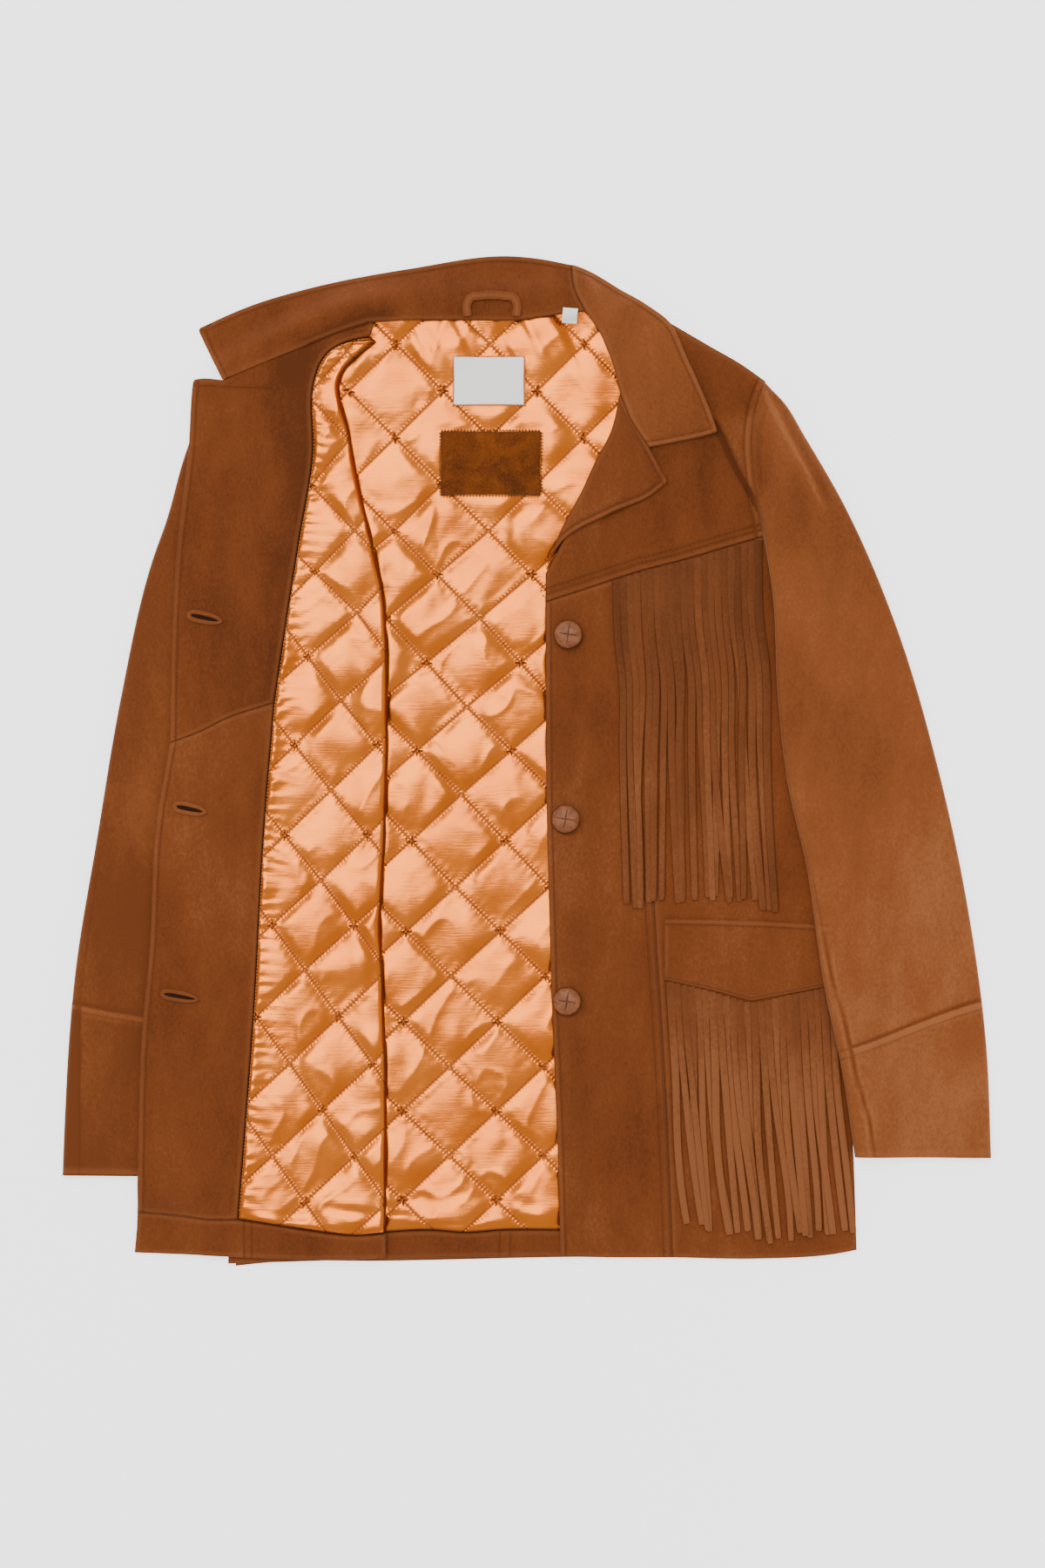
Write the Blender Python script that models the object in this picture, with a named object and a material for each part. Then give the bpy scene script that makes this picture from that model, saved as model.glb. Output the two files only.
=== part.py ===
"""A fringed suede coat, laid flat on its back, with the wearer's right front opened.

Every panel is a real piece of the coat, cut to its own outline and laid on what lies under it.
Plan sizes are in millimetres: x from the middle of the back towards the wearer's left,
y from the hem line up towards the collar. The finished solids are in metres.
"""
import math
from collections import namedtuple

import bmesh
import bpy
import numpy as np
from mathutils import Matrix, Vector
from mathutils.geometry import delaunay_2d_cdt

MM = 0.001

# Walls: suede with its interlining, and satin with its wadding.
SUEDE = 2.4
BACK_WALL = 2.6
YOKE_WALL = 3.0
SLEEVE_WALL = 2.0
SATIN = 2.2
COLLAR_WALL = 3.2
FRINGE_WALL = 1.3
LABEL_WALL = 1.0
LOOP_WALL = 2.0

# Clearances: between two layers, and half of a seam between two panels or round a sleeve.
LAY = 0.3
HALF_SEAM = 0.2
SLEEVE_HALF_SEAM = 0.4

# Quilting: one diamond's width and height, and how far it puffs up.
QUILT_WIDE = 74.0
QUILT_TALL = 72.0
QUILT_PUFF = 1.8

# Sleeves: height of the flattened tube, at the armhole and below it, and how it is divided.
# Places along a sleeve run from 0 at the armhole to 1 at the cuff seam and 1.25 at its end.
TUBE_AT_ARMHOLE = 7.4
TUBE = 8.0
FULL_TUBE_FROM = 0.2
SLEEVE_START = 0.002
CUFF_GAP = 0.0007
SLEEVE_END = 1.25
BULGE_END = 0.3
SLEEVE_ROWS = 15
CUFF_ROWS = 4
SLEEVE_COLUMNS = 6
SLEEVE_REACH = 36.0
RIDGE_HEIGHT = 3.0
RIDGE_WIDTH = 16.0

# A folded edge turns down over this width.
ROLL = 4.2

# Spacing of a panel's points, and how a drape is softened.
EDGE_STEP = 20.0
FIELD_STEP = 26.0
LEAST_SPACING = 0.42
SOFTEN = 12.0

BUTTON_RADIUS = 11.5
BUTTON_HEIGHT = 7.0
WELT_HEIGHT = 1.4
TORUS_TUBE = 0.25

# Fringes: the uncut strip, rows of points down a strand, and how much of its place it fills.
FRINGE_STRIP = 9.0
FRINGE_ROWS = 5
STRAND_FILL = 0.84

Point = namedtuple("Point", "x y")
# The middle of the coat's box, which stands at the origin.
MIDDLE = Point(28.0, 398.5)
Run = namedtuple("Run", "line kind")
Colour = namedtuple("Colour", "red green blue roughness")

FINISHES = {
    "suede": Colour(0.230, 0.062, 0.016, 0.95),
    "suede_light": Colour(0.300, 0.088, 0.026, 0.95),
    "satin_lining": Colour(0.700, 0.300, 0.115, 0.35),
    "suede_patch": Colour(0.195, 0.041, 0.004, 0.95),
    "button_leather": Colour(0.300, 0.112, 0.050, 0.55),
    "label": Colour(0.780, 0.740, 0.680, 0.80),
}


def line(*pairs):
    """A row of named points."""
    return [Point(*pair) for pair in pairs]


# The body, from the neck down both sides.
BACK_NECK = line((-125, 761), (-94, 754), (-46, 753), (0, 753), (52, 756), (94, 757), (125, 761))
SHOULDER_LEFT = line((125, 761), (140, 747), (176, 725), (196, 714), (214, 702))
ARMHOLE_LEFT = line((218, 703), (213, 690), (209, 674), (207, 655), (208, 636), (210, 616), (217, 582))
UNDERARM_LEFT = line((217, 582), (246, 538))
SIDE_LEFT = line((246, 538), (260, 380), (274, 219), (284, 91), (287, 5))
SHOULDER_RIGHT = line((-216, 703), (-199, 718), (-178, 730), (-142, 750), (-125, 761))
ARMHOLE_RIGHT = line((-216, 703), (-210, 660), (-205, 618), (-193, 576), (-175, 548))
SIDE_RIGHT = line((-175, 548), (-184, 478), (-190, 380), (-196, 289), (-202, 198), (-206, -7))
BACK_HEM = line((-206, -7), (-176, -4), (-85, -3), (55, 0), (213, 1), (277, 4), (287, 5))

# The collar: flat from its right point to the crease, then folded down over the left shoulder.
COLLAR_TOP = line((-236, 745), (-192, 765), (-148, 778), (-66, 794), (18, 804), (38, 802), (64, 797))
COLLAR_END = line((-216, 704), (-236, 745))
GORGE_RIGHT = line((-99, 751), (-117, 745), (-148, 732), (-188, 716), (-216, 704))
NECK_SEAM = line((75, 761), (57, 760), (21, 755), (-26, 755), (-62, 755), (-99, 751))
CREASE = line((64, 797), (66, 778), (75, 761))
LEAF_OUTER = line((64, 797), (80, 791), (102, 778), (125, 764), (142, 751), (156, 723), (181, 662))
LEAF_END = line((181, 662), (126, 650))
LEAF_ROLL = line((103, 694), (95, 722), (83, 748), (75, 761))
GORGE_LEFT = line((126, 650), (111, 673), (103, 694))

# The left front, its yoke and its lapel.
ROLL_LINE = line((43, 553), (59, 591), (71, 613), (83, 639), (95, 662), (103, 694))
LAPEL_OUTER = line((126, 650), (141, 622))
LAPEL_LOWER = line((141, 622), (130, 613), (95, 597), (55, 573), (43, 553))
TUCKED_ROLL = line((49, 551), (66, 589), (78, 611), (90, 637), (102, 660), (110, 694), (102, 722), (92, 748))
YOKE_SEAM_FRONT = line((43, 526), (64, 533), (82, 539), (119, 551))
YOKE_SEAM_SIDE = line((119, 551), (154, 560), (188, 570), (217, 579))
FRONT_EDGE_LEFT = line((43, 526), (44, 352), (46, 275), (48, 205), (52, 107), (55, 1))
PANEL_SEAM = line((119, 551), (125, 415), (130, 286), (139, 140), (145, 0))
HEM_FRONT = line((55, 1), (94, 0), (145, 0))
HEM_SIDE = line((145, 0), (213, -1), (277, 3), (293, 6))
SIDE_EDGE_LEFT = line((252, 534), (266, 380), (280, 219), (290, 91), (293, 6))
SIDE_UNDERARM = line((217, 579), (252, 534))
SHOULDER_EDGE_LEFT = line((125, 767), (142, 753), (178, 731), (199, 719), (218, 705))
SLEEVE_RIDGE = line((216, 700), (225, 683), (237, 658), (253, 629), (266, 600))
SHOULDER_FOLD = line((178, 671), (184, 660), (192, 642), (201, 624), (209, 611), (214, 601))
FOLD_HEIGHT = 5.0
FOLD_WIDTH = 6.0

# The right front, opened over its own sleeve, and the back lining beside it.
FRONT_EDGE_RIGHT_UP = line((-240, 705), (-243, 651), (-253, 559), (-256, 506), (-258, 413))
FRONT_EDGE_RIGHT_LOW = line((-258, 413), (-269, 347), (-274, 252), (-281, 170), (-284, 37))
FRONT_EDGE_RIGHT_HEM = line((-284, 37), (-287, 4))
NOTCH_RIGHT = line((-240, 705), (-216, 704))
FACING_LINE_NECK = line((-99, 751), (-117, 735), (-139, 716))
FACING_LINE_UP = line((-139, 716), (-143, 703), (-144, 645), (-156, 570), (-169, 486), (-175, 445))
FACING_LINE_LOW = line((-175, 445), (-183, 347), (-192, 189), (-197, 121), (-204, 31))
FACING_SEAM = line((-258, 413), (-234, 422), (-212, 433), (-188, 441), (-175, 445))
FACING_HEM = line((-284, 37), (-253, 34), (-228, 31), (-204, 31))
LINING_NECK = line((-99, 751), (-133, 707))
LINING_ROLL = line((-133, 707), (-115, 662), (-108, 628), (-97, 578), (-86, 524), (-84, 477), (-84, 396),
                   (-87, 310), (-89, 275), (-87, 216), (-85, 158), (-85, 20))
LINING_ROLL_HEM = line((-85, 20), (-85, 0))
SATIN_HEM_RIGHT = line((-204, 31), (-176, 27), (-139, 21), (-113, 18), (-85, 20))
SATIN_HEM_BACK = line((-89, 20), (-50, 22), (-20, 20), (8, 22), (63, 22))
HEM_RIGHT = line((-287, 4), (-210, 1), (-158, -1), (-85, 0))
HEM_BACK = line((-89, -2), (-31, 0), (63, 1))
LINING_INSIDE = 6.0
FOLD_SHOULDER_RIGHT = line((-215, 703), (-178, 727), (-142, 747), (-122, 757))
FOLD_ARMHOLE_RIGHT = line((-215, 703), (-209, 660), (-205, 618), (-194, 580), (-181, 552))
FOLD_SIDE_RIGHT = line((-181, 552), (-190, 478), (-196, 380), (-202, 289), (-208, 198), (-212, -5))
BACK_LINING_RIGHT = line((63, 22), (60, 205), (54, 352), (52, 526), (58, 560), (80, 600), (102, 650),
                         (112, 694), (100, 735), (75, 758))
BACK_LINING_NECK = line((75, 758), (21, 753), (-26, 753), (-62, 753), (-97, 750))

# Sleeves. The seam edge is the silhouette that the sleeve seam runs beside.
SLEEVE_RIGHT_ARMHOLE = line((-218, 704), (-212, 660), (-208, 618), (-200, 580), (-187, 550))
SLEEVE_RIGHT_SEAM_EDGE = line((-218, 704), (-233, 679), (-246, 646), (-262, 590), (-272, 562), (-298, 450),
                              (-317, 338), (-335, 226), (-340, 170), (-343, 114), (-345, 64))
SLEEVE_RIGHT_FAR_EDGE = line((-187, 550), (-199, 478), (-206, 380), (-214, 282), (-224, 198), (-238, 62))
SLEEVE_LEFT_SEAM_EDGE = line((217, 582), (220, 566), (225, 532), (229, 451), (237, 381), (252, 314),
                             (265, 224), (283, 142), (293, 80))
SLEEVE_LEFT_FAR_EDGE = line((218, 704), (234, 688), (251, 660), (283, 604), (325, 506), (358, 394),
                            (382, 282), (397, 170), (401, 78))
Sleeve = namedtuple("Sleeve", "side seam_edge far_edge armhole seam_cuff far_cuff seam_end far_end")
SLEEVES = [
    Sleeve("right", SLEEVE_RIGHT_SEAM_EDGE, SLEEVE_RIGHT_FAR_EDGE, SLEEVE_RIGHT_ARMHOLE,
           seam_cuff=205, far_cuff=184, seam_end=66, far_end=65),
    Sleeve("left", SLEEVE_LEFT_SEAM_EDGE, SLEEVE_LEFT_FAR_EDGE, ARMHOLE_LEFT[::-1],
           seam_cuff=167, far_cuff=206, seam_end=81, far_end=80),
]
# How far the sleeve seam lies round from the seam edge, along the sleeve from armhole to cuff.
SeamPlace = namedtuple("SeamPlace", "along from_edge")
SLEEVE_SEAM = [SeamPlace(0.0, 4.0), SeamPlace(0.75, 4.5), SeamPlace(1.0, 11.0), SeamPlace(1.25, 16.0)]

# Fringes and the hip pocket.
CHEST_ROOT = line((96, 543), (119, 550), (154, 559), (188, 569), (216, 577))
CHEST_LEFT = line((96, 541), (99, 491), (102, 463), (102, 408), (103, 284))
CHEST_RIGHT = line((216, 575), (218, 509), (223, 474), (225, 408), (232, 280))
CHEST_STRANDS = 26
FLAP_TOP = line((138, 272), (192, 271), (258, 268), (278, 267))
FLAP_END = line((278, 267), (278, 219))
FLAP_LOW = line((278, 219), (239, 212), (208, 206), (175, 215), (138, 223))
FLAP_SIDE = line((138, 223), (138, 272))
POCKET_ROOT = line((139, 222), (175, 214), (208, 205), (239, 211), (275, 218))
POCKET_LEFT = line((139, 221), (142, 156), (145, 107), (158, 30))
POCKET_RIGHT = line((275, 218), (279, 142), (284, 79), (288, 21))
POCKET_STRANDS = 29

# Small pieces.
BUTTONS = line((61, 500), (59, 352), (60, 206))
Buttonhole = namedtuple("Buttonhole", "x y length height tilt")
BUTTONHOLES = [
    Buttonhole(-230, 513, 29, 10, math.radians(-12)),
    Buttonhole(-242, 360, 28, 10, math.radians(-12)),
    Buttonhole(-250, 210, 31, 9, math.radians(-10)),
]
LABEL = line((-31, 723), (26, 723), (26, 684), (-31, 684))
PATCH = line((-41, 663), (39, 663), (39, 612), (-41, 612))
TAB = line((57, 762), (69, 761), (68, 749), (56, 750))
LOOP = line((-23, 756), (-23, 768), (-17, 774), (17, 774), (23, 768), (23, 756), (16, 756), (16, 765),
            (14, 767), (-14, 767), (-16, 765), (-16, 756))


def smooth(points, step=EDGE_STEP):
    """Evenly spaced places on a curve that runs through the points."""
    knots = np.array(points, float)
    spans = np.linalg.norm(np.diff(knots, axis=0), axis=1)
    slopes = np.diff(knots, axis=0) / spans[:, None]
    tangents = np.vstack([slopes[:1], slopes[-1:]])
    if len(knots) > 2:
        before, after = spans[:-1, None], spans[1:, None]
        middle = (slopes[:-1] * after + slopes[1:] * before) / (before + after)
        tangents = np.vstack([slopes[:1], middle, slopes[-1:]])
    dense = [knots[:1]]
    share = np.linspace(0, 1, 9)[1:, None]
    for start, end, leave, arrive, span in zip(knots, knots[1:], tangents, tangents[1:], spans):
        bend = 2 * share ** 3 - 3 * share ** 2
        dense.append((bend + 1) * start - bend * end
                     + span * (share ** 3 - 2 * share ** 2 + share) * leave
                     + span * (share ** 3 - share ** 2) * arrive)
    dense = np.vstack(dense)
    length = np.concatenate([[0], np.cumsum(np.linalg.norm(np.diff(dense, axis=0), axis=1))])
    count = max(1, round(length[-1] / step))
    return along(dense, np.linspace(0, 1, count + 1))


def along(path, share):
    """Places at shares of a path's length."""
    length = np.concatenate([[0], np.cumsum(np.linalg.norm(np.diff(path, axis=0), axis=1))])
    at = np.asarray(share) * length[-1]
    return np.stack([np.interp(at, length, path[:, 0]), np.interp(at, length, path[:, 1])], axis=-1)


def distance_to(points, path):
    """Distance from each point to a path, its share along the path, and which side it lies on."""
    starts, ends = path[:-1], path[1:]
    step = ends - starts
    reach = points[:, None] - starts[None]
    share = np.clip((reach * step).sum(2) / (step ** 2).sum(1), 0, 1)
    gap = np.linalg.norm(reach - share[..., None] * step, axis=2)
    nearest = gap.argmin(1)
    rows = np.arange(len(points))
    side = (step[nearest, 0] * reach[rows, nearest, 1] - step[nearest, 1] * reach[rows, nearest, 0])
    return gap[rows, nearest], (nearest + share[rows, nearest]) / len(starts), np.sign(side)


def inside(points, border):
    """Which points lie inside a closed border."""
    after = np.roll(border, -1, axis=0)
    low, high = border[None, :, 1], after[None, :, 1]
    height = points[:, 1:2]
    crosses = (low > height) != (high > height)
    run = (height - low) / np.where(high == low, 1.0, high - low)
    at = border[None, :, 0] + run * (after[None, :, 0] - border[None, :, 0])
    return (crosses & (points[:, :1] < at)).sum(1) % 2 == 1


def ease(value):
    """A smooth step from 0 to 1."""
    value = np.clip(value, 0, 1)
    return value * value * (3 - 2 * value)


def quilted(points, centre):
    """Puff of the diamond quilting: nothing on the sewn lines, most in a diamond's middle."""
    across = (points[:, 0] - centre.x) / QUILT_WIDE
    up = (points[:, 1] - centre.y) / QUILT_TALL
    lines = np.abs(np.sin(math.pi * (across + up)) * np.sin(math.pi * (across - up)))
    return QUILT_PUFF * np.sqrt(lines)


class Pile:
    """Top heights of what has been laid so far, kept on a raster over the table."""

    CELL = 3.0
    LEFT, LOW = -420.0, -80.0
    SHAPE = (320, 300)

    def __init__(self):
        self.tops = np.zeros(self.SHAPE)
        self.waiting = []

    def lay(self, points, triangles):
        """Note a new piece, which the next layer will lie on."""
        self.waiting.append((points, triangles))

    def settle(self):
        """Take in the pieces of the layer that is finished."""
        for points, triangles in self.waiting:
            self.take(points, triangles)
        self.waiting = []

    def take(self, points, triangles):
        """Raise the raster to the tops of a piece's triangles."""
        for corners in triangles:
            a, b, c = points[corners]
            longest = max(np.linalg.norm(b - a), np.linalg.norm(c - a), np.linalg.norm(c - b))
            parts = int(longest / (self.CELL / 2)) + 1
            i, j = np.meshgrid(np.arange(parts + 1), np.arange(parts + 1))
            keep = i + j <= parts
            s, t = (i[keep] / parts)[:, None], (j[keep] / parts)[:, None]
            spots = a + s * (b - a) + t * (c - a)
            rows, columns = self.cells(spots)
            np.maximum.at(self.tops, (rows, columns), spots[:, 2])

    def cells(self, spots):
        columns = ((spots[:, 0] - self.LEFT) / self.CELL).astype(int)
        rows = ((spots[:, 1] - self.LOW) / self.CELL).astype(int)
        return rows, columns

    def over(self, spots, reach, soften=SOFTEN):
        """Lowest heights that clear everything within reach of each place, softened."""
        ready = np.where(self.tops > 0, self.tops + LAY, 0.0)
        wide = self.spread(ready, reach + soften + 2 * self.CELL, np.maximum)
        if soften > 0:
            wide = self.mean(wide, soften)
        across = (spots[:, 0] - self.LEFT) / self.CELL - 0.5
        up = (spots[:, 1] - self.LOW) / self.CELL - 0.5
        column, row = np.floor(across).astype(int), np.floor(up).astype(int)
        x, y = across - column, up - row
        return ((1 - y) * ((1 - x) * wide[row, column] + x * wide[row, column + 1])
                + y * ((1 - x) * wide[row + 1, column] + x * wide[row + 1, column + 1]))

    def offsets(self, radius):
        cells = int(radius / self.CELL)
        i, j = np.meshgrid(np.arange(-cells, cells + 1), np.arange(-cells, cells + 1))
        keep = i ** 2 + j ** 2 <= (radius / self.CELL) ** 2
        return list(zip(i[keep], j[keep]))

    def spread(self, heights, radius, combine):
        result = heights.copy()
        for i, j in self.offsets(radius):
            result = combine(result, np.roll(heights, (i, j), axis=(0, 1)))
        return result

    def mean(self, heights, radius):
        offsets = self.offsets(radius)
        total = sum(np.roll(heights, shift, axis=(0, 1)) for shift in offsets)
        return total / len(offsets)


def finish(name):
    """One of the coat's finishes, as a Principled material."""
    if name in bpy.data.materials:
        return bpy.data.materials[name]
    colour = FINISHES[name]
    material = bpy.data.materials.new(name)
    material.use_nodes = True
    shader = material.node_tree.nodes["Principled BSDF"]
    shader.inputs["Base Color"].default_value = (colour.red, colour.green, colour.blue, 1)
    shader.inputs["Roughness"].default_value = colour.roughness
    shader.inputs["Metallic"].default_value = 0.0
    return material


def add_object(name, mesh, finish_name, coat):
    """Put a closed mesh, in millimetres so far, into the coat."""
    mesh.transform(Matrix.Diagonal((MM, MM, MM, 1)) @ Matrix.Translation((-MIDDLE.x, -MIDDLE.y, 0)))
    mesh.materials.append(finish(finish_name))
    mesh.shade_smooth()
    mesh.set_sharp_from_angle(angle=math.radians(50))
    piece = bpy.data.objects.new(name, mesh)
    coat.objects.link(piece)
    return piece


def pile_of(*pieces):
    """A pile that holds only these pieces."""
    chosen = Pile()
    for piece in pieces:
        mesh = piece.data
        mesh.calc_loop_triangles()
        spots = np.array([vert.co for vert in mesh.vertices]) / MM + np.array([MIDDLE.x, MIDDLE.y, 0])
        chosen.take(spots, np.array([part.vertices for part in mesh.loop_triangles]))
    return chosen


def closed_mesh(name, sheet, bottoms, tops, flat_below=False):
    """A wall from a flat sheet: the sheet is its inside, and its extrusion is its outside."""
    bottom_verts = sheet.verts[:]
    bottom_faces = sheet.faces[:]
    everything = bottom_faces + sheet.edges[:] + bottom_verts
    made = bmesh.ops.extrude_face_region(sheet, geom=everything)
    sheet.verts.ensure_lookup_table()
    copies = [item for item in made["geom"] if isinstance(item, bmesh.types.BMVert)]
    place = {}
    for index, vert in enumerate(bottom_verts):
        place[round(vert.co.x, 4), round(vert.co.y, 4)] = index
    numbers = [place[round(vert.co.x, 4), round(vert.co.y, 4)] for vert in copies]
    for vert, number in zip(copies, numbers):
        vert.co = tops[number]
    for vert, bottom in zip(bottom_verts, bottoms):
        vert.co = bottom
    if flat_below:
        bmesh.ops.dissolve_faces(sheet, faces=bottom_faces, use_verts=False)
    quads = [face for face in sheet.faces if len(face.verts) == 4]
    bmesh.ops.triangulate(sheet, faces=quads, quad_method="FIXED")
    bmesh.ops.recalc_face_normals(sheet, faces=sheet.faces[:])
    if sheet.calc_volume(signed=True) < 0:
        bmesh.ops.reverse_faces(sheet, faces=sheet.faces[:])
    mesh = bpy.data.meshes.new(name)
    sheet.to_mesh(mesh)
    sheet.free()
    return mesh


def border_of(runs):
    """The closed outline of a panel, pulled in by half a seam where it is sewn to another."""
    places, insets, rolled = [], [], []
    for run in runs:
        places.append(run.line[:-1])
        insets += [HALF_SEAM if run.kind == "seam" else 0.0] * (len(run.line) - 1)
        rolled += [False] + [run.kind == "roll"] * (len(run.line) - 2)
    border = np.vstack(places)
    insets = np.array(insets)
    rolled = np.array(rolled)
    after = np.roll(border, -1, axis=0)
    area = (border[:, 0] * after[:, 1] - border[:, 1] * after[:, 0]).sum()
    step = after - border
    step /= np.linalg.norm(step, axis=1)[:, None]
    inward = np.stack([-step[:, 1], step[:, 0]], axis=1) * np.sign(area)
    inward_before, inset_before = np.roll(inward, 1, axis=0), np.roll(insets, 1)
    turn = inward_before[:, 0] * inward[:, 1] - inward_before[:, 1] * inward[:, 0]
    shift = np.zeros_like(border)
    corner = np.abs(turn) > 0.2
    shift[corner, 0] = (inset_before * inward[:, 1] - insets * inward_before[:, 1])[corner] / turn[corner]
    shift[corner, 1] = (insets * inward_before[:, 0] - inset_before * inward[:, 0])[corner] / turn[corner]
    mean = inward + inward_before
    mean /= np.linalg.norm(mean, axis=1)[:, None]
    shift[~corner] = (mean * np.maximum(insets, inset_before)[:, None])[~corner]
    return border + shift, mean, rolled


def panel(name, finish_name, runs, pile, coat, wall=SUEDE, field=FIELD_STEP, on=None, low=None, quilt=None,
          lift=None, creases=(), soften=SOFTEN, flat_below=False):
    """A panel of cloth cut to its outline and draped over the pile, or over chosen pieces of it."""
    border, inward, rolled = border_of(runs)
    count = len(border)
    edges = [(i, (i + 1) % count) for i in range(count)]
    spots = [border]
    total = count
    ring = border[rolled] + inward[rolled] * ROLL
    if len(ring):
        marks = np.flatnonzero(rolled)
        edges += [(total + i, total + i + 1) for i in range(len(ring) - 1) if marks[i + 1] == marks[i] + 1]
        spots.append(ring)
        total += len(ring)
    for crease in creases:
        edges += [(total + i, total + i + 1) for i in range(len(crease) - 1)]
        spots.append(crease)
        total += len(crease)
    step = np.array([QUILT_WIDE / 4, QUILT_TALL / 4]) if quilt else np.array([field, field])
    centre = np.array(quilt) if quilt else border.mean(0)
    lowest = np.floor((border.min(0) - centre) / step).astype(int)
    highest = np.ceil((border.max(0) - centre) / step).astype(int)
    i, j = np.meshgrid(np.arange(lowest[0], highest[0] + 1), np.arange(lowest[1], highest[1] + 1))
    numbers = np.stack([i.ravel(), j.ravel()], axis=1)
    grid = centre + numbers * step
    closed = np.vstack([border, border[:1]])
    room = LEAST_SPACING * step.min()
    clear = distance_to(grid, closed)[0] > room
    for fixed in spots[1:]:
        clear &= np.min(np.linalg.norm(grid[:, None] - fixed[None], axis=2), axis=1) > room
    keep = inside(grid, border) & clear
    grid, numbers = grid[keep], numbers[keep]
    if quilt:
        index = {tuple(number): total + k for k, number in enumerate(numbers.tolist())}
        for (a, b), here in index.items():
            if (a - b) % 4 == 0 and (a + 1, b + 1) in index:
                edges.append((here, index[a + 1, b + 1]))
            if (a + b) % 4 == 0 and (a + 1, b - 1) in index:
                edges.append((here, index[a + 1, b - 1]))
    spots.append(grid)
    flat = np.vstack(spots)
    verts, _, faces, *_ = delaunay_2d_cdt([Vector(spot) for spot in flat.tolist()], edges, [], 1, 1e-4)
    plan = np.array([(vert.x, vert.y) for vert in verts])
    sheet = bmesh.new()
    for x, y in plan.tolist():
        sheet.verts.new((x, y, 0))
    sheet.verts.ensure_lookup_table()
    for face in faces:
        sheet.faces.new([sheet.verts[corner] for corner in face])
    reach = max(edge.calc_length() for edge in sheet.edges)
    bottom = (on or pile).over(plan, reach, soften)
    top = bottom + wall
    if quilt:
        from_edge = distance_to(plan, closed)[0]
        puff = quilted(plan, quilt) * ease(from_edge / 14)
        for held in (LABEL, PATCH):
            puff *= ease((box_distance(plan, held) - 2) / 10)
        top += puff
    if lift is not None:
        raised = lift(plan)
        bottom += raised
        top += raised
    if rolled.any():
        on_edge = distance_to(plan, closed)[0] < 0.01
        near = np.min(np.linalg.norm(plan[:, None] - border[rolled][None], axis=2), axis=1) < 0.01
        turned = on_edge & near
        under = (low or pile).over(plan[turned], reach, 0)
        bottom[turned] = under
        top[turned] = under + 0.8 * wall
    pile.lay(np.column_stack([plan, top]), np.array(faces))
    mesh = closed_mesh(name, sheet, np.column_stack([plan, bottom]), np.column_stack([plan, top]), flat_below)
    return add_object(name, mesh, finish_name, coat)


def box_distance(points, corners):
    """Distance from each point to an upright rectangle."""
    box = np.array(corners, float)
    low, high = box.min(0), box.max(0)
    outside = np.maximum(np.maximum(low - points, points - high), 0)
    return np.linalg.norm(outside, axis=1)


def seam(points, step=EDGE_STEP):
    return Run(smooth(points, step), "seam")


def edge(points, step=EDGE_STEP):
    return Run(smooth(points, step), "edge")


def roll(points, step=EDGE_STEP):
    return Run(smooth(points, step), "roll")


def back(run):
    """The same run, walked the other way."""
    return Run(run.line[::-1], run.kind)


def corners(points, step=10.0):
    """A closed outline with straight sides."""
    closed = list(points) + [points[0]]
    return [edge([start, end], step) for start, end in zip(closed, closed[1:])]


def inset_line(points, by):
    """The lining roll moved towards the wearer's right, for the layers that stay inside it."""
    return line(*[(point.x - by, point.y) for point in points])


def comb(name, finish_name, root, left, right, count, pile, coat):
    """A fringe: a narrow strip at its roots, and strands that hang apart from it."""
    root, left, right = smooth(root, 5), smooth(left, 5), smooth(right, 5)
    length = np.linalg.norm(np.diff(left, axis=0), axis=1).sum()
    rows = np.concatenate([[0, FRINGE_STRIP / length],
                           np.linspace(FRINGE_STRIP / length, 1, FRINGE_ROWS)[1:]])
    strand, side = np.meshgrid(np.arange(count), [-1, 1], indexing="ij")
    strand, side = strand.ravel(), side.ravel()
    middle = (strand + 0.5) / count
    fill = STRAND_FILL + 0.05 * np.sin(2.4 * strand)
    sheet = bmesh.new()
    bmesh.ops.create_grid(sheet, x_segments=2 * count - 1, y_segments=len(rows) - 1, size=0.5)
    gaps = []
    for face in sheet.faces:
        spot = face.calc_center_median()
        column = int((spot.x + 0.5) * (2 * count - 1))
        row = int((spot.y + 0.5) * (len(rows) - 1))
        if column % 2 == 1 and row > 0:
            gaps.append(face)
    bmesh.ops.delete(sheet, geom=gaps, context="FACES")
    grid = np.array([vert.co.xy for vert in sheet.verts])
    columns = np.rint((grid[:, 0] + 0.5) * (2 * count - 1)).astype(int)
    row_of = np.rint((grid[:, 1] + 0.5) * (len(rows) - 1)).astype(int)
    down = rows[row_of]
    narrow = np.where(row_of == 0, 1.0, fill[columns])
    share = middle[columns] + side[columns] * 0.5 * narrow / count
    share = np.where(row_of == 0, (columns + 0.5) / (2 * count), share)
    ragged = 1 + 0.012 * np.sin(1.7 * strand[columns]) * (row_of == len(rows) - 1)
    at_left, at_right = along(left, down * ragged), along(right, down * ragged)
    plan = at_left + share[:, None] * (at_right - at_left)
    straight = left[0] + share[:, None] * (right[0] - left[0])
    plan += (along(root, share) - straight) * (1 - down[:, None]) ** 2
    beyond = np.maximum(down * ragged - 1, 0) * length
    plan[:, 1] -= beyond
    bottom = pile.over(plan, FRINGE_STRIP, FRINGE_STRIP / 2)
    top = bottom + FRINGE_WALL
    faces = [[vert.index for vert in face.verts] for face in sheet.faces]
    triangles = [part for face in faces for part in ([face[0], face[1], face[2]], [face[0], face[2], face[3]])]
    pile.lay(np.column_stack([plan, top]), np.array(triangles))
    mesh = closed_mesh(name, sheet, np.column_stack([plan, bottom]), np.column_stack([plan, top]))
    return add_object(name, mesh, finish_name, coat)


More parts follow.
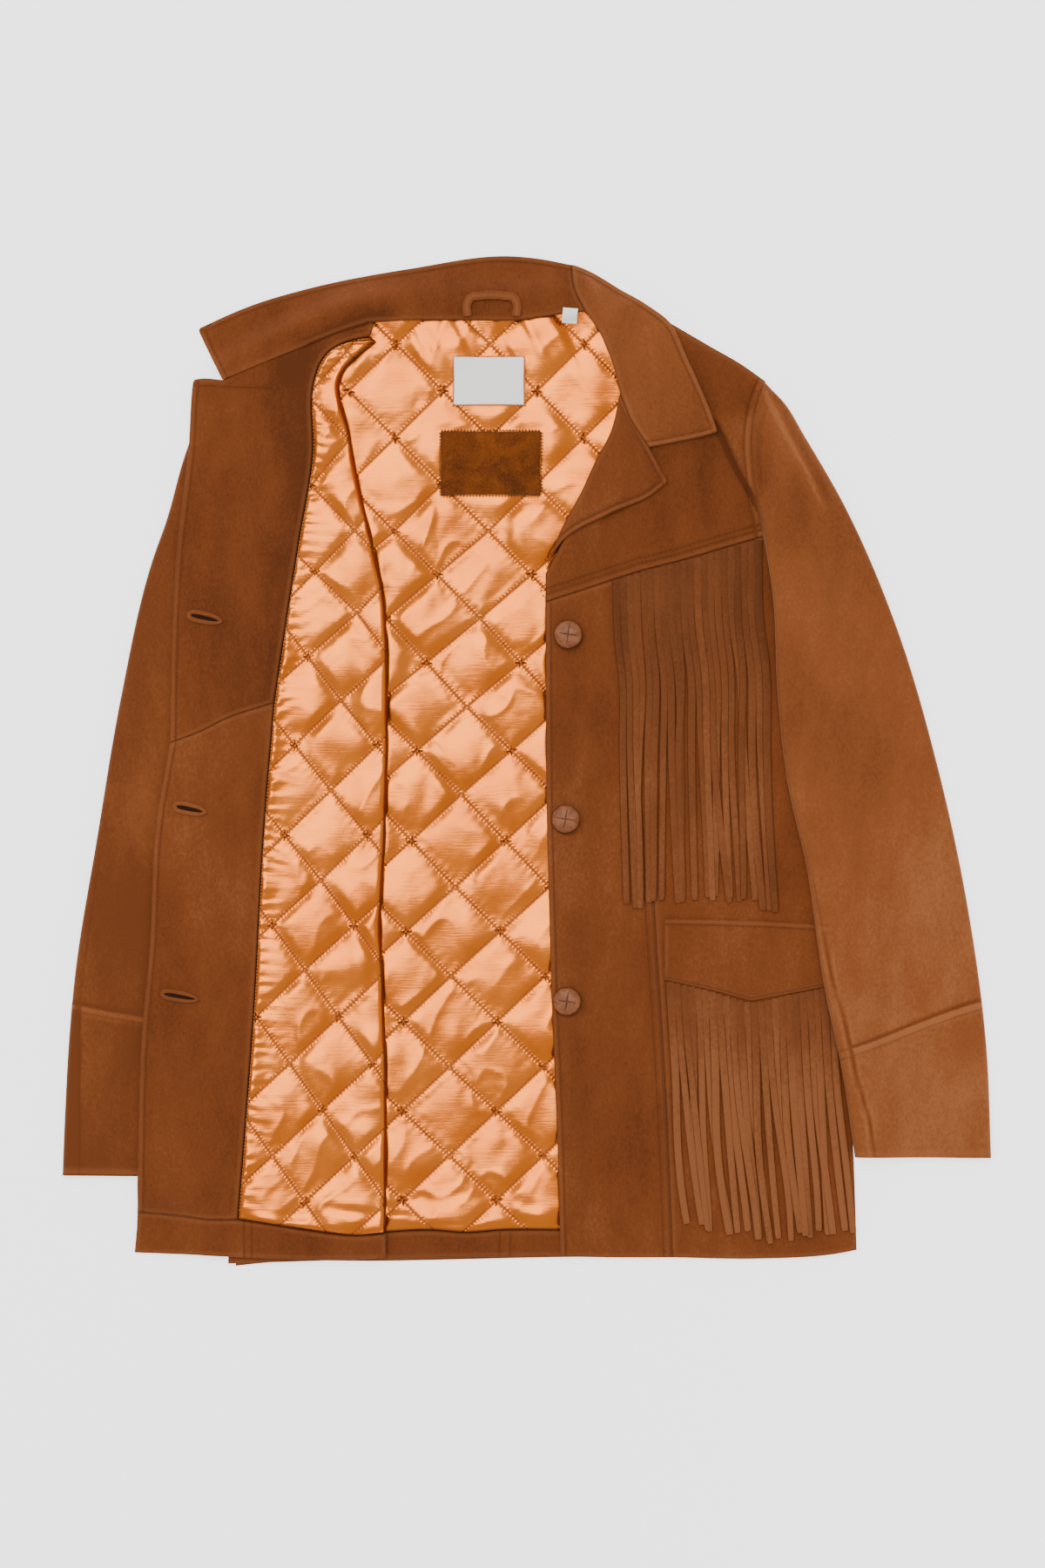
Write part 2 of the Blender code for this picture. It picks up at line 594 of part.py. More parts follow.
def sleeve_plan(sleeve, share, down):
    """Where a share of the way across the sleeve lies, at places along it, and the sleeve's width."""
    seam_edge = smooth(sleeve.seam_edge, 4)
    far_edge = smooth(sleeve.far_edge, 4)
    marks = [0, 1, SLEEVE_END]
    seam_y = np.interp(down, marks, [seam_edge[0, 1], sleeve.seam_cuff, sleeve.seam_end])
    far_y = np.interp(down, marks, [far_edge[0, 1], sleeve.far_cuff, sleeve.far_end])
    start = np.stack([np.interp(seam_y, seam_edge[::-1, 1], seam_edge[::-1, 0]), seam_y], axis=-1)
    end = np.stack([np.interp(far_y, far_edge[::-1, 1], far_edge[::-1, 0]), far_y], axis=-1)
    share = share[..., None]
    straight = start + share * (end - start)
    armhole = along(smooth(sleeve.armhole, 4), share[..., 0])
    chord = seam_edge[0] + share * (far_edge[0] - seam_edge[0])
    fade = np.clip(1 - down / BULGE_END, 0, 1)[..., None] ** 2
    return straight + (armhole - chord) * fade, np.linalg.norm(end - start, axis=-1)


def sleeve_part(sleeve, name, finish_name, rows, upper, pile, coat):
    """The top or the under part of a sleeve: a wall that wraps half of the flattened tube."""
    down = np.array(rows)
    half = np.interp(down, [0, FULL_TUBE_FROM], [TUBE_AT_ARMHOLE / 2, TUBE / 2])
    width = sleeve_plan(sleeve, np.zeros_like(down), down)[1]
    turn = half * math.pi / 2
    total = 2 * turn + width - 2 * half
    place = np.array(SLEEVE_SEAM)
    seam_at = np.interp(down, place[:, 0], place[:, 1])
    flat_start = np.maximum(turn, seam_at + 3)
    flat = np.linspace(0, 1, SLEEVE_COLUMNS)
    inner = flat_start[:, None] + flat * (total - turn - flat_start)[:, None]
    outer_edge = np.stack([total - turn / 2, total - SLEEVE_HALF_SEAM], axis=1)
    if upper:
        first = (seam_at + SLEEVE_HALF_SEAM)[:, None]
        at = np.hstack([first, inner, outer_edge])
    else:
        under = turn[:, None] + flat * (total - 2 * turn)[:, None]
        lip = np.stack([-turn / 2, np.zeros_like(turn), np.minimum(turn, 0.6 * seam_at),
                        seam_at - SLEEVE_HALF_SEAM], axis=1)
        at = np.hstack([-outer_edge[:, ::-1], -under[:, ::-1], lip])
    columns = at.shape[1]
    radius, turn, total, width = (item[:, None] for item in (half, turn, total, width))
    sign = np.sign(at)
    reach = np.abs(at)
    angle = np.where(reach < turn, reach / radius, np.where(reach > total - turn, (total - reach) / radius,
                                                            math.pi / 2))
    near = reach < total / 2
    flat_run = np.clip(reach - turn, 0, total - 2 * turn)

    def skin(size):
        bow = size * np.cos(angle)
        across = np.where(near, radius - bow, width - radius + bow)
        across = np.where((reach >= turn) & (reach <= total - turn), radius + flat_run, across)
        height = sign * size * np.sin(angle)
        plan, _ = sleeve_plan(sleeve, across / width, np.repeat(down[:, None], columns, axis=1))
        plan = plan.reshape(-1, 2)
        base = pile.over(plan, SLEEVE_REACH)
        if sleeve.side == "left":
            base += RIDGE_HEIGHT * ease(1 - distance_to(plan, smooth(SLEEVE_RIDGE, 8))[0] / RIDGE_WIDTH)
        return plan, base + radius.repeat(columns, 1).ravel() + height.ravel()

    outside, outside_z = skin(radius)
    inside_plan, inside_z = skin(radius - SLEEVE_WALL)
    sheet = bmesh.new()
    bmesh.ops.create_grid(sheet, x_segments=columns - 1, y_segments=len(down) - 1, size=0.5)
    grid = np.array([vert.co.xy for vert in sheet.verts])
    order = (np.rint((grid[:, 1] + 0.5) * (len(down) - 1)) * columns
             + np.rint((grid[:, 0] + 0.5) * (columns - 1))).astype(int)
    tops = np.column_stack([outside, outside_z])[order]
    bottoms = np.column_stack([inside_plan, inside_z])[order]
    faces = [[vert.index for vert in face.verts] for face in sheet.faces]
    triangles = [part for face in faces for part in ([face[0], face[1], face[2]], [face[0], face[2], face[3]])]
    pile.lay(tops, np.array(triangles))
    mesh = closed_mesh(name, sheet, bottoms, tops)
    return add_object(name, mesh, finish_name, coat)


def make_sleeve(sleeve, pile, coat):
    """Top and under sleeve, and the cuff pieces below the slanted seam."""
    body = np.linspace(0, 1, SLEEVE_ROWS)
    body[0] = SLEEVE_START
    body[-1] -= CUFF_GAP
    cuff = np.linspace(1, SLEEVE_END, CUFF_ROWS)
    cuff[0] += CUFF_GAP
    for part, rows in (("sleeve", body), ("cuff", cuff)):
        for side, upper in (("top", True), ("under", False)):
            name = f"{sleeve.side}_{part}_{side}"
            sleeve_part(sleeve, name, "suede_light", rows, upper, pile, coat)


def button(name, place, pile, coat):
    """A domed leather button: four segments meet in a slightly turned cross."""
    dome = bmesh.new()
    bmesh.ops.create_uvsphere(dome, u_segments=20, v_segments=10, radius=1)
    lower = [vert for vert in dome.verts if vert.co.z < -0.01]
    bmesh.ops.delete(dome, geom=lower, context="VERTS")
    base = pile.over(np.array([place]), BUTTON_RADIUS, 0)[0]
    for vert in dome.verts:
        x, y, z = vert.co
        out = math.hypot(x, y)
        turn = math.atan2(y, x) + 0.7 * out
        groove = max(0.0, 1 - abs(math.sin(2 * turn)) * 3) * min(1.0, 2 * out)
        rise = BUTTON_HEIGHT * (0.22 + 0.78 * z ** 0.8 - 0.13 * groove * z) if z > 0.01 else 0.0
        vert.co = (place.x + BUTTON_RADIUS * x, place.y + BUTTON_RADIUS * y, base + rise)
    rim = [item for item in dome.edges if item.is_boundary]
    bmesh.ops.contextual_create(dome, geom=rim)
    bmesh.ops.recalc_face_normals(dome, faces=dome.faces[:])
    mesh = bpy.data.meshes.new(name)
    dome.to_mesh(mesh)
    dome.free()
    return add_object(name, mesh, "button_leather", coat)


def buttonhole(name, hole, pile, coat):
    """A bound buttonhole: two welts that join at the ends round a narrow slit."""
    bpy.ops.mesh.primitive_torus_add(major_segments=14, minor_segments=6, major_radius=1,
                                     minor_radius=TORUS_TUBE)
    ring = bpy.context.object
    mesh = ring.data
    bpy.data.objects.remove(ring)
    mesh.name = name
    welt = 0.36 * hole.height
    base = pile.over(np.array([[hole.x, hole.y]]), hole.length / 2 + 1, 0)[0]
    cos, sin = math.cos(hole.tilt), math.sin(hole.tilt)
    for vert in mesh.vertices:
        x, y, z = vert.co
        out = math.hypot(x, y)
        off = (out - 1) / TORUS_TUBE * welt / 2
        wide = hole.length / 2 - welt / 2 + off
        tall = hole.height / 2 - welt / 2 + off
        direction = math.atan2(y, x)
        stretch = abs(math.cos(direction)) ** 0.6 * math.copysign(1, x)
        climb = abs(math.sin(direction)) ** 0.8 * math.copysign(1, y)
        along_hole, up_hole = wide * stretch, tall * climb
        vert.co = (hole.x + along_hole * cos - up_hole * sin, hole.y + along_hole * sin + up_hole * cos,
                   base + (1 + z / TORUS_TUBE) * WELT_HEIGHT / 2)
    return add_object(name, mesh, "suede", coat)


def shoulder_lift(points):
    """The yoke rides up over the sleeve head, with a sharp fold on its neck side."""
    path = smooth(SHOULDER_FOLD, 6)
    gap, share, side = distance_to(points, path)
    beyond = np.where(side > 0, gap, -gap)
    return FOLD_HEIGHT * ease(beyond / FOLD_WIDTH) * ease(share * 1.6)


def main():
    """Lay the coat, layer by layer, and set it down round the origin."""
    for item in list(bpy.data.objects):
        bpy.data.objects.remove(item)
    coat = bpy.data.collections.new("fringed_suede_coat")
    bpy.context.scene.collection.children.link(coat)
    pile = Pile()

    # Seams that two pieces share are sampled once.
    armhole = seam(ARMHOLE_LEFT, 15)
    yoke_front, yoke_side = seam(YOKE_SEAM_FRONT), seam(YOKE_SEAM_SIDE)
    panel_seam = seam(PANEL_SEAM, 24)
    gorge_right = seam(GORGE_RIGHT)
    gorge_left = seam(GORGE_LEFT)
    facing_neck, facing_up, facing_low = seam(FACING_LINE_NECK), seam(FACING_LINE_UP), seam(FACING_LINE_LOW)
    facing_seam, facing_hem = seam(FACING_SEAM), seam(FACING_HEM)
    satin_hem_right, satin_hem_back = seam(SATIN_HEM_RIGHT), seam(SATIN_HEM_BACK)

    # The back on the table, and the right sleeve beside it.
    back_body = panel("back_body", "suede",
          [edge(BACK_NECK), edge(SHOULDER_LEFT), armhole, edge(UNDERARM_LEFT), edge(SIDE_LEFT, 30),
           back(edge(BACK_HEM, 30)), back(edge(SIDE_RIGHT, 30)), back(edge(ARMHOLE_RIGHT)),
           edge(SHOULDER_RIGHT)],
          pile, coat, wall=BACK_WALL, field=60, flat_below=True)
    make_sleeve(SLEEVES[0], pile, coat)
    pile.settle()

    # What lies straight on the back.
    lining_edge = inset_line(LINING_ROLL, LINING_INSIDE)
    back_lining = panel("back_lining", "satin_lining",
          [satin_hem_back, edge(BACK_LINING_RIGHT), edge(BACK_LINING_NECK),
           edge([Point(-97, 750), lining_edge[0]]), edge(lining_edge),
           edge([lining_edge[-1], SATIN_HEM_BACK[0]])],
          pile, coat, wall=SATIN, quilt=Point(4, 188), flat_below=True)
    back_hem = panel("back_hem_facing", "suede",
          [back(satin_hem_back), edge([SATIN_HEM_BACK[0], HEM_BACK[0]]), edge(HEM_BACK),
           edge([HEM_BACK[-1], SATIN_HEM_BACK[-1]])],
          pile, coat, wall=SATIN, field=40)
    bottom_table = Pile()
    side_edge = inset_line(LINING_ROLL, LINING_INSIDE + 2)
    side_edge[-1] = Point(side_edge[-1].x, -1)
    panel("right_side_fold", "suede",
          [edge([Point(-122, 757), side_edge[0]]), edge(side_edge, 26),
           edge([side_edge[-1], FOLD_SIDE_RIGHT[-1]]), back(roll(FOLD_SIDE_RIGHT, 30)),
           back(edge(FOLD_ARMHOLE_RIGHT)), edge(FOLD_SHOULDER_RIGHT)],
          pile, coat, wall=SUEDE, field=44, on=pile_of(back_body), low=bottom_table)
    on_back = pile_of(back_body, back_lining, back_hem)
    pile.settle()

    # The right front's suede, face down, then its facing, lining and hem.
    shell_edge = inset_line(LINING_ROLL, LINING_INSIDE)
    shell_edge[-1] = Point(shell_edge[-1].x, 1)
    panel("right_front", "suede",
          [edge(line((-239, 704), (-217, 703))), edge(line((-217, 703), (-188, 714), (-148, 730), (-117, 743))),
           edge([Point(-117, 743), shell_edge[0]]), edge(shell_edge, 26),
           edge(line(shell_edge[-1], (-158, 0), (-210, 2), (-286, 5))),
           back(edge(line((-239, 704), (-242, 651), (-252, 559), (-255, 506), (-257, 413), (-268, 347),
                          (-273, 252), (-280, 170), (-286, 5)), 26))],
          pile, coat, wall=SUEDE, field=32)
    pile.settle()
    panel("right_facing_upper", "suede",
          [edge(NOTCH_RIGHT), back(gorge_right), facing_neck, facing_up, back(facing_seam),
           back(edge(FRONT_EDGE_RIGHT_UP))],
          pile, coat, wall=SUEDE)
    panel("right_facing_lower", "suede",
          [facing_seam, facing_low, back(facing_hem), back(edge(FRONT_EDGE_RIGHT_LOW))],
          pile, coat, wall=SUEDE)
    panel("right_front_lining", "satin_lining",
          [back(facing_neck), edge(LINING_NECK), roll(LINING_ROLL), back(satin_hem_right),
           back(facing_low), back(facing_up)],
          pile, coat, wall=SATIN, quilt=Point(-122, 186), low=on_back)
    panel("right_front_hem", "suede",
          [facing_hem, satin_hem_right, edge(LINING_ROLL_HEM), back(edge(HEM_RIGHT)),
           back(edge(FRONT_EDGE_RIGHT_HEM))],
          pile, coat, wall=SUEDE, field=40)
    pile.settle()
    for number, hole in enumerate(BUTTONHOLES, 1):
        buttonhole(f"buttonhole_welt_{number}", hole, pile, coat)

    # The left front: yoke, front panel and side panel, with the turned edges over the back.
    fold = smooth(SHOULDER_FOLD, 10)
    fold_top = fold + np.array([FOLD_WIDTH * 0.85, FOLD_WIDTH * 0.4])
    panel("left_yoke", "suede",
          [yoke_front, yoke_side, edge([YOKE_SEAM_SIDE[-1], ARMHOLE_LEFT[-1]]), back(armhole),
           edge([ARMHOLE_LEFT[0], SHOULDER_EDGE_LEFT[-1]]), back(roll(SHOULDER_EDGE_LEFT)),
           edge([SHOULDER_EDGE_LEFT[0], TUCKED_ROLL[-1]]), back(edge(TUCKED_ROLL)),
           edge([TUCKED_ROLL[0], YOKE_SEAM_FRONT[0]])],
          pile, coat, wall=YOKE_WALL, lift=shoulder_lift, creases=(fold[:-1], fold_top[:-2]),
          low=bottom_table)
    left_front = panel("left_front", "suede",
          [back(yoke_front), edge(FRONT_EDGE_LEFT), edge(HEM_FRONT), back(panel_seam)],
          pile, coat, wall=SUEDE, field=30)
    left_side = panel("left_side", "suede",
          [back(yoke_side), panel_seam, edge(HEM_SIDE), back(roll(SIDE_EDGE_LEFT, 30)),
           back(edge(SIDE_UNDERARM))],
          pile, coat, wall=SUEDE, field=36, low=bottom_table)
    pile.settle()

    # The collar and the lapel.
    panel("collar_open", "suede",
          [edge(COLLAR_TOP), seam(CREASE, 12), seam(NECK_SEAM), gorge_right, edge(COLLAR_END)],
          pile, coat, wall=COLLAR_WALL)
    pile.settle()
    panel("left_lapel", "suede",
          [back(gorge_left), edge(LAPEL_OUTER), edge(LAPEL_LOWER), roll(ROLL_LINE, 16)],
          pile, coat, wall=SUEDE, field=20, low=on_back)
    panel("collar_leaf", "suede_light",
          [edge(LEAF_OUTER), edge(LEAF_END), gorge_left, roll(LEAF_ROLL + CREASE[::-1][1:], 12)],
          pile, coat, wall=COLLAR_WALL, field=20, low=on_back)
    pile.settle()

    # Fringes, flap and the left sleeve.
    chest_fringe = comb("left_yoke_fringe", "suede", CHEST_ROOT, CHEST_LEFT, CHEST_RIGHT, CHEST_STRANDS, pile, coat)
    pile.settle()
    flap = panel("pocket_flap", "suede",
          [edge(FLAP_TOP), edge(FLAP_END), edge(FLAP_LOW), edge(FLAP_SIDE)],
          pile, coat, wall=SUEDE, soften=4)
    pocket_fringe = comb("pocket_fringe", "suede", POCKET_ROOT, POCKET_LEFT, POCKET_RIGHT, POCKET_STRANDS, pile, coat)
    under_sleeve = pile_of(left_front, left_side, chest_fringe, flap, pocket_fringe)
    make_sleeve(SLEEVES[1], under_sleeve, coat)
    pile.settle()

    # Buttons, and what is sewn to the back lining.
    for number, place in enumerate(BUTTONS, 1):
        button(f"button_{number}", place, pile, coat)
    panel("neck_label", "label", corners(LABEL), pile, coat, wall=LABEL_WALL, field=14, soften=0)
    panel("neck_patch", "suede_patch", corners(PATCH), pile, coat, wall=LABEL_WALL, field=14, soften=0)
    panel("size_tab", "label", corners(TAB, 6), pile, coat, wall=LABEL_WALL, field=6, soften=0)
    panel("hanger_loop", "suede", corners(LOOP, 7), pile, coat, wall=LOOP_WALL, field=30, soften=0)

    print(f"{len(coat.objects)} pieces laid")


main()
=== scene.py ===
# %% [markdown]
# # A fringed suede coat, laid flat
#
# The coat lies on its back on a table, and the wearer's right front is opened out over its
# sleeve, so that the facing and the quilted satin lining show. A coat like this is a pile of
# flat sheets: back, lining, fronts, collar, fringe and sleeves, each resting on what was laid
# before it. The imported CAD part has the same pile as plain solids. This lesson lays a finer
# sheet in the place of each one, and gives every sheet the nap, gloss and stitches of its stuff.

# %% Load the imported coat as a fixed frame
import math
from collections import namedtuple

import bpy
import numpy as np
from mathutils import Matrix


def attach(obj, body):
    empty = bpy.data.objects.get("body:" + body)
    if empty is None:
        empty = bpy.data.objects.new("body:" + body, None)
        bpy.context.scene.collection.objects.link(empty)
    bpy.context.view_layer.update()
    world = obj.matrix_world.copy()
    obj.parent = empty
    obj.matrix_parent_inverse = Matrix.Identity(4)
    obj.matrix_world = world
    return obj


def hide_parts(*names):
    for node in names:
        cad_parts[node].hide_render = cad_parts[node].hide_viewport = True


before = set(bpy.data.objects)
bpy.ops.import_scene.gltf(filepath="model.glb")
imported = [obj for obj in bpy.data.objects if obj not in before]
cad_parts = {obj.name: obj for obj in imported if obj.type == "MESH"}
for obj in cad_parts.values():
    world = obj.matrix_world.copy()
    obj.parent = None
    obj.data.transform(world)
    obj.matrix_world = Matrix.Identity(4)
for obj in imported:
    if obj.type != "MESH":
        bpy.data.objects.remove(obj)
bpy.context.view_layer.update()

# %% [markdown]
# The pattern pieces are drawn in millimetres, as a cutter would: x runs from the middle of the
# back towards the wearer's left, and y runs from the hem line up to the collar. A cutter's
# curve goes through a few marked points. The usual tools would be Blender's Bezier curves, but
# arrays of points are easier to lay cloth between, so each span here is a cubic whose slope at
# a mark is the mean of the two chords that meet there.

# %% Curves through marked points
MM = 0.001
MIDDLE = np.array([28.0, 398.5])


def strides(path):
    """How far apart a path's points are: the length of each difference."""
    return np.linalg.norm(np.diff(path, axis=-2), axis=-1)


def spaced(path, step):
    """A path with its points set evenly: places at equal shares of its length."""
    return at_shares(path, np.linspace(0, 1, max(2, int(round(strides(path).sum() / step)) + 1)))


def at_shares(path, shares):
    """Places on a path: each share of the whole length, read off between its points."""
    run = np.concatenate([[0], np.cumsum(strides(path))])
    at = np.asarray(shares) * run[-1]
    return np.stack([np.interp(at, run, path[:, 0]), np.interp(at, run, path[:, 1])], axis=-1)


def curve(*marks, step=2.0):
    """A curve through the marks: on each span, the cubic with the marks' own slopes at its ends."""
    knots = np.array(marks, float)
    spans = strides(knots)[:, None]
    slopes = np.diff(knots, axis=0) / spans
    middle = (slopes[:-1] * spans[1:] + slopes[1:] * spans[:-1]) / (spans[:-1] + spans[1:])
    slopes = np.vstack([slopes[:1], middle, slopes[-1:]])
    share = np.linspace(0, 1, 13)[None, :, None]
    start, end = knots[:-1, None], knots[1:, None]
    leave, arrive = slopes[:-1, None] * spans[:, None], slopes[1:, None] * spans[:, None]
    bend = 3 * share ** 2 - 2 * share ** 3
    dense = ((1 - bend) * start + bend * end + (share ** 3 - 2 * share ** 2 + share) * leave
             + (share ** 3 - share ** 2) * arrive)
    return spaced(np.vstack([dense[:, :-1].reshape(-1, 2), knots[-1:]]), step)


def joined(*paths):
    """Paths end to end, without the doubled point where one meets the next."""
    return np.vstack([paths[0]] + [path[1:] for path in paths[1:]])


def heading(path):
    """Which way a path runs at each point: its slope, cut to a length of one."""
    way = np.gradient(path, axis=-2)
    return way / np.linalg.norm(way, axis=-1)[..., None]


def left_of(way):
    """A quarter turn to the left: x becomes less y, and y becomes x."""
    return np.stack([-way[..., 1], way[..., 0]], axis=-1)


def beside(path, by):
    """A path moved sideways: each point goes by that much to the left of the way it runs."""
    return path + by * left_of(heading(path))


def measured(spots, path, block=400):
    """How far each spot is from a path, and on which side: the shortest reach to any of its spans."""
    starts, step = path[:-1], np.diff(path, axis=0)
    gap, side = np.empty(len(spots)), np.empty(len(spots))
    for first in range(0, len(spots), block):
        part = slice(first, first + block)
        reach = spots[part, None] - starts[None]
        share = np.clip((reach * step).sum(2) / (step ** 2).sum(1), 0, 1)
        off = np.linalg.norm(reach - share[..., None] * step, axis=2)
        near = off.argmin(1)
        rows = np.arange(len(near))
        gap[part] = off[rows, near]
        back = reach[rows, near]
        side[part] = np.sign(step[near, 0] * back[:, 1] - step[near, 1] * back[:, 0])
    return gap, side


def past(spots, path):
    """How far each spot is past a path, which counts as more than nought on the path's left."""
    gap, side = measured(spots, path)
    return np.where(side > 0, gap, -gap)


def inside(spots, outline):
    """Which spots lie inside a closed outline: those whose ray to the right crosses it an odd
    number of times."""
    after = np.roll(outline, -1, axis=0)
    crosses = (outline[None, :, 1] > spots[:, 1:]) != (after[None, :, 1] > spots[:, 1:])
    rise = np.where(after[:, 1] == outline[:, 1], 1.0, after[:, 1] - outline[:, 1])
    at = outline[:, 0] + (spots[:, 1:] - outline[:, 1]) / rise * (after[:, 0] - outline[:, 0])
    return (crosses & (spots[:, :1] < at)).sum(1) % 2 == 1


def ease(value):
    """A soft step from 0 to 1: three times the square less twice the cube."""
    value = np.clip(value, 0, 1)
    return value * value * (3 - 2 * value)


def bell(value, width):
    """A smooth bump of one at nought: e to the power of less the square of value over width."""
    return np.exp(-(value / width) ** 2)


def noise(spots, size, seed, turn=0.0, stretch=1.0):
    """Smooth random heights from -1 to 1: random numbers on a turned grid, eased in between."""
    table = np.random.default_rng(seed).uniform(-1, 1, (64, 64))
    x = (spots[:, 0] * math.cos(turn) + spots[:, 1] * math.sin(turn)) / size
    y = (spots[:, 1] * math.cos(turn) - spots[:, 0] * math.sin(turn)) / (size * stretch)
    i, j = np.floor(x).astype(int), np.floor(y).astype(int)
    u, v = ease(x - i), ease(y - j)
    i, j, k, m = i % 64, j % 64, (i + 1) % 64, (j + 1) % 64
    return ((1 - u) * ((1 - v) * table[i, j] + v * table[i, m])
            + u * ((1 - v) * table[k, j] + v * table[k, m]))


print("a curve of", len(curve((0, 0), (40, 10), (80, 0))), "points")

# %% [markdown]
# The camera looks straight down on the table, with the collar at the top of the picture. It
# stands high, so that the thick parts of the coat don't lean outwards. The table is a pale
# plain sheet. One large soft light from the upper left draws the folds, a second one fills
# them from the right, and a wide one overhead keeps the shadows pale.

# %% Camera, table and lights
VIEW_HEIGHT = 4.0
FRAME_TALL = 1.26
AIM = (np.array([24.5, 380.1]) - MIDDLE) * MM

camera_data = bpy.data.cameras.new("camera_above")
camera_data.lens = 36.0 * VIEW_HEIGHT / FRAME_TALL
camera_data.sensor_width = 36.0
camera_data.clip_end = 50.0
camera = bpy.data.objects.new("camera_above", camera_data)
camera.location = (AIM[0], AIM[1], VIEW_HEIGHT)
bpy.context.scene.collection.objects.link(camera)
bpy.context.scene.camera = camera

Light = namedtuple("Light", "name place size power")
LIGHTS = [
    Light("light_upper_left", (-1.55, 1.65, 1.85), 2.2, 215.0),
    Light("light_right", (1.8, -0.5, 1.8), 1.8, 72.0),
    Light("light_overhead", (-2.7, 4.3, 10.6), 11.4, 1600.0),
]
for light in LIGHTS:
    data = bpy.data.lights.new(light.name, "AREA")
    data.shape, data.size, data.energy = "DISK", light.size, light.power
    lamp = bpy.data.objects.new(light.name, data)
    lamp.location = light.place
    x, y, z = light.place
    lamp.rotation_euler = (math.atan2(math.hypot(x, y), z), 0, math.atan2(-x, y))
    bpy.context.scene.collection.objects.link(lamp)

world = bpy.data.worlds.new("pale_room")
world.use_nodes = True
world.node_tree.nodes["Background"].inputs["Color"].default_value = (0.92, 0.92, 0.92, 1)
world.node_tree.nodes["Background"].inputs["Strength"].default_value = 0.92
bpy.context.scene.world = world
print("camera lens", round(camera_data.lens, 1), "mm;", len(LIGHTS), "lights")

# %% [markdown]
# A finish is a network of small nodes. Each one is linked by its name here, so a helper that
# makes a node, fills its sockets and links what is handed in keeps the finishes short.

# %% A helper for finishes
class Finish:
    """A material and its nodes; each method makes one node and returns its output."""

    def __init__(self, name):
        self.material = bpy.data.materials.new(name)
        self.material.use_nodes = True
        self.tree = self.material.node_tree
        self.shader = self.tree.nodes["Principled BSDF"]
        self.place = self.node("TexCoord").outputs["Object"]

    def node(self, kind, given=(), **settings):
        """A node of this kind: given holds a value or a link for each named socket."""
        made = self.tree.nodes.new("ShaderNode" + kind)
        for name, value in settings.items():
            setattr(made, name, value)
        for socket, value in dict(given).items():
            self.fill(made.inputs[socket], value)
        return made

    def fill(self, socket, value):
        """Link an output to the socket, or set its own value; a colour is made opaque."""
        if isinstance(value, bpy.types.NodeSocket):
            self.tree.links.new(value, socket)
        else:
            socket.default_value = (*value, 1) if socket.type == "RGBA" else value

    def noise(self, scale, detail=2.0, rough=0.5, warp=0.0, stretch=(1, 1, 1)):
        """Clouds from 0 to 1: this many to a metre, or fewer along an axis that is stretched by less."""
        spread = self.node("Mapping", {"Vector": self.place, "Scale": stretch})
        given = {"Vector": spread.outputs["Vector"], "Scale": scale, "Detail": detail, "Roughness": rough}
        return self.node("TexNoise", {**given, "Distortion": warp}).outputs["Fac"]

    def read(self, name):
        """One of the measures that a mesh carries at its corners."""
        return self.node("Attribute", attribute_name=name).outputs["Fac"]

    def step(self, value, low, high):
        """A soft step from 0 at low to 1 at high."""
        given = {"Value": value, "From Min": low, "From Max": high}
        return self.node("MapRange", given, interpolation_type="SMOOTHSTEP").outputs["Result"]

    def math(self, kind, first, second=0.0):
        """Simple arithmetic of one or two values."""
        return self.node("Math", {0: first, 1: second}, operation=kind).outputs["Value"]

    def total(self, *terms):
        """Weighted sum of (value, weight) terms."""
        result = None
        for value, weight in terms:
            part = self.math("MULTIPLY", value, weight)
            result = part if result is None else self.math("ADD", result, part)
        return result

    def blend(self, share, first, second):
        """First times 1 less the share, plus second times the share."""
        made = self.node("Mix", {"Factor": share}, data_type="RGBA")
        for socket, value in zip([each for each in made.inputs if each.type == "RGBA"], (first, second)):
            self.fill(socket, value)
        return [socket for socket in made.outputs if socket.type == "RGBA"][0]

    def tint(self, colour, share, most, towards):
        """Blend another colour in, up to most of it, as the share goes from 0 to 1."""
        return self.blend(self.math("MULTIPLY", share, most), colour, towards)

    def relief(self, *terms):
        """Bump, from a height in metres that is a weighted sum."""
        bump = self.node("Bump", {"Strength": 1.0, "Distance": 1.0, "Height": self.total(*terms)})
        self.fill(self.shader.inputs["Normal"], bump.outputs["Normal"])

    def set(self, **sockets):
        """Give the shader's sockets values or links, and return the material."""
        for name, value in sockets.items():
            self.fill(self.shader.inputs[name.replace("_", " ")], value)
        return self.material


print("finish helper ready")
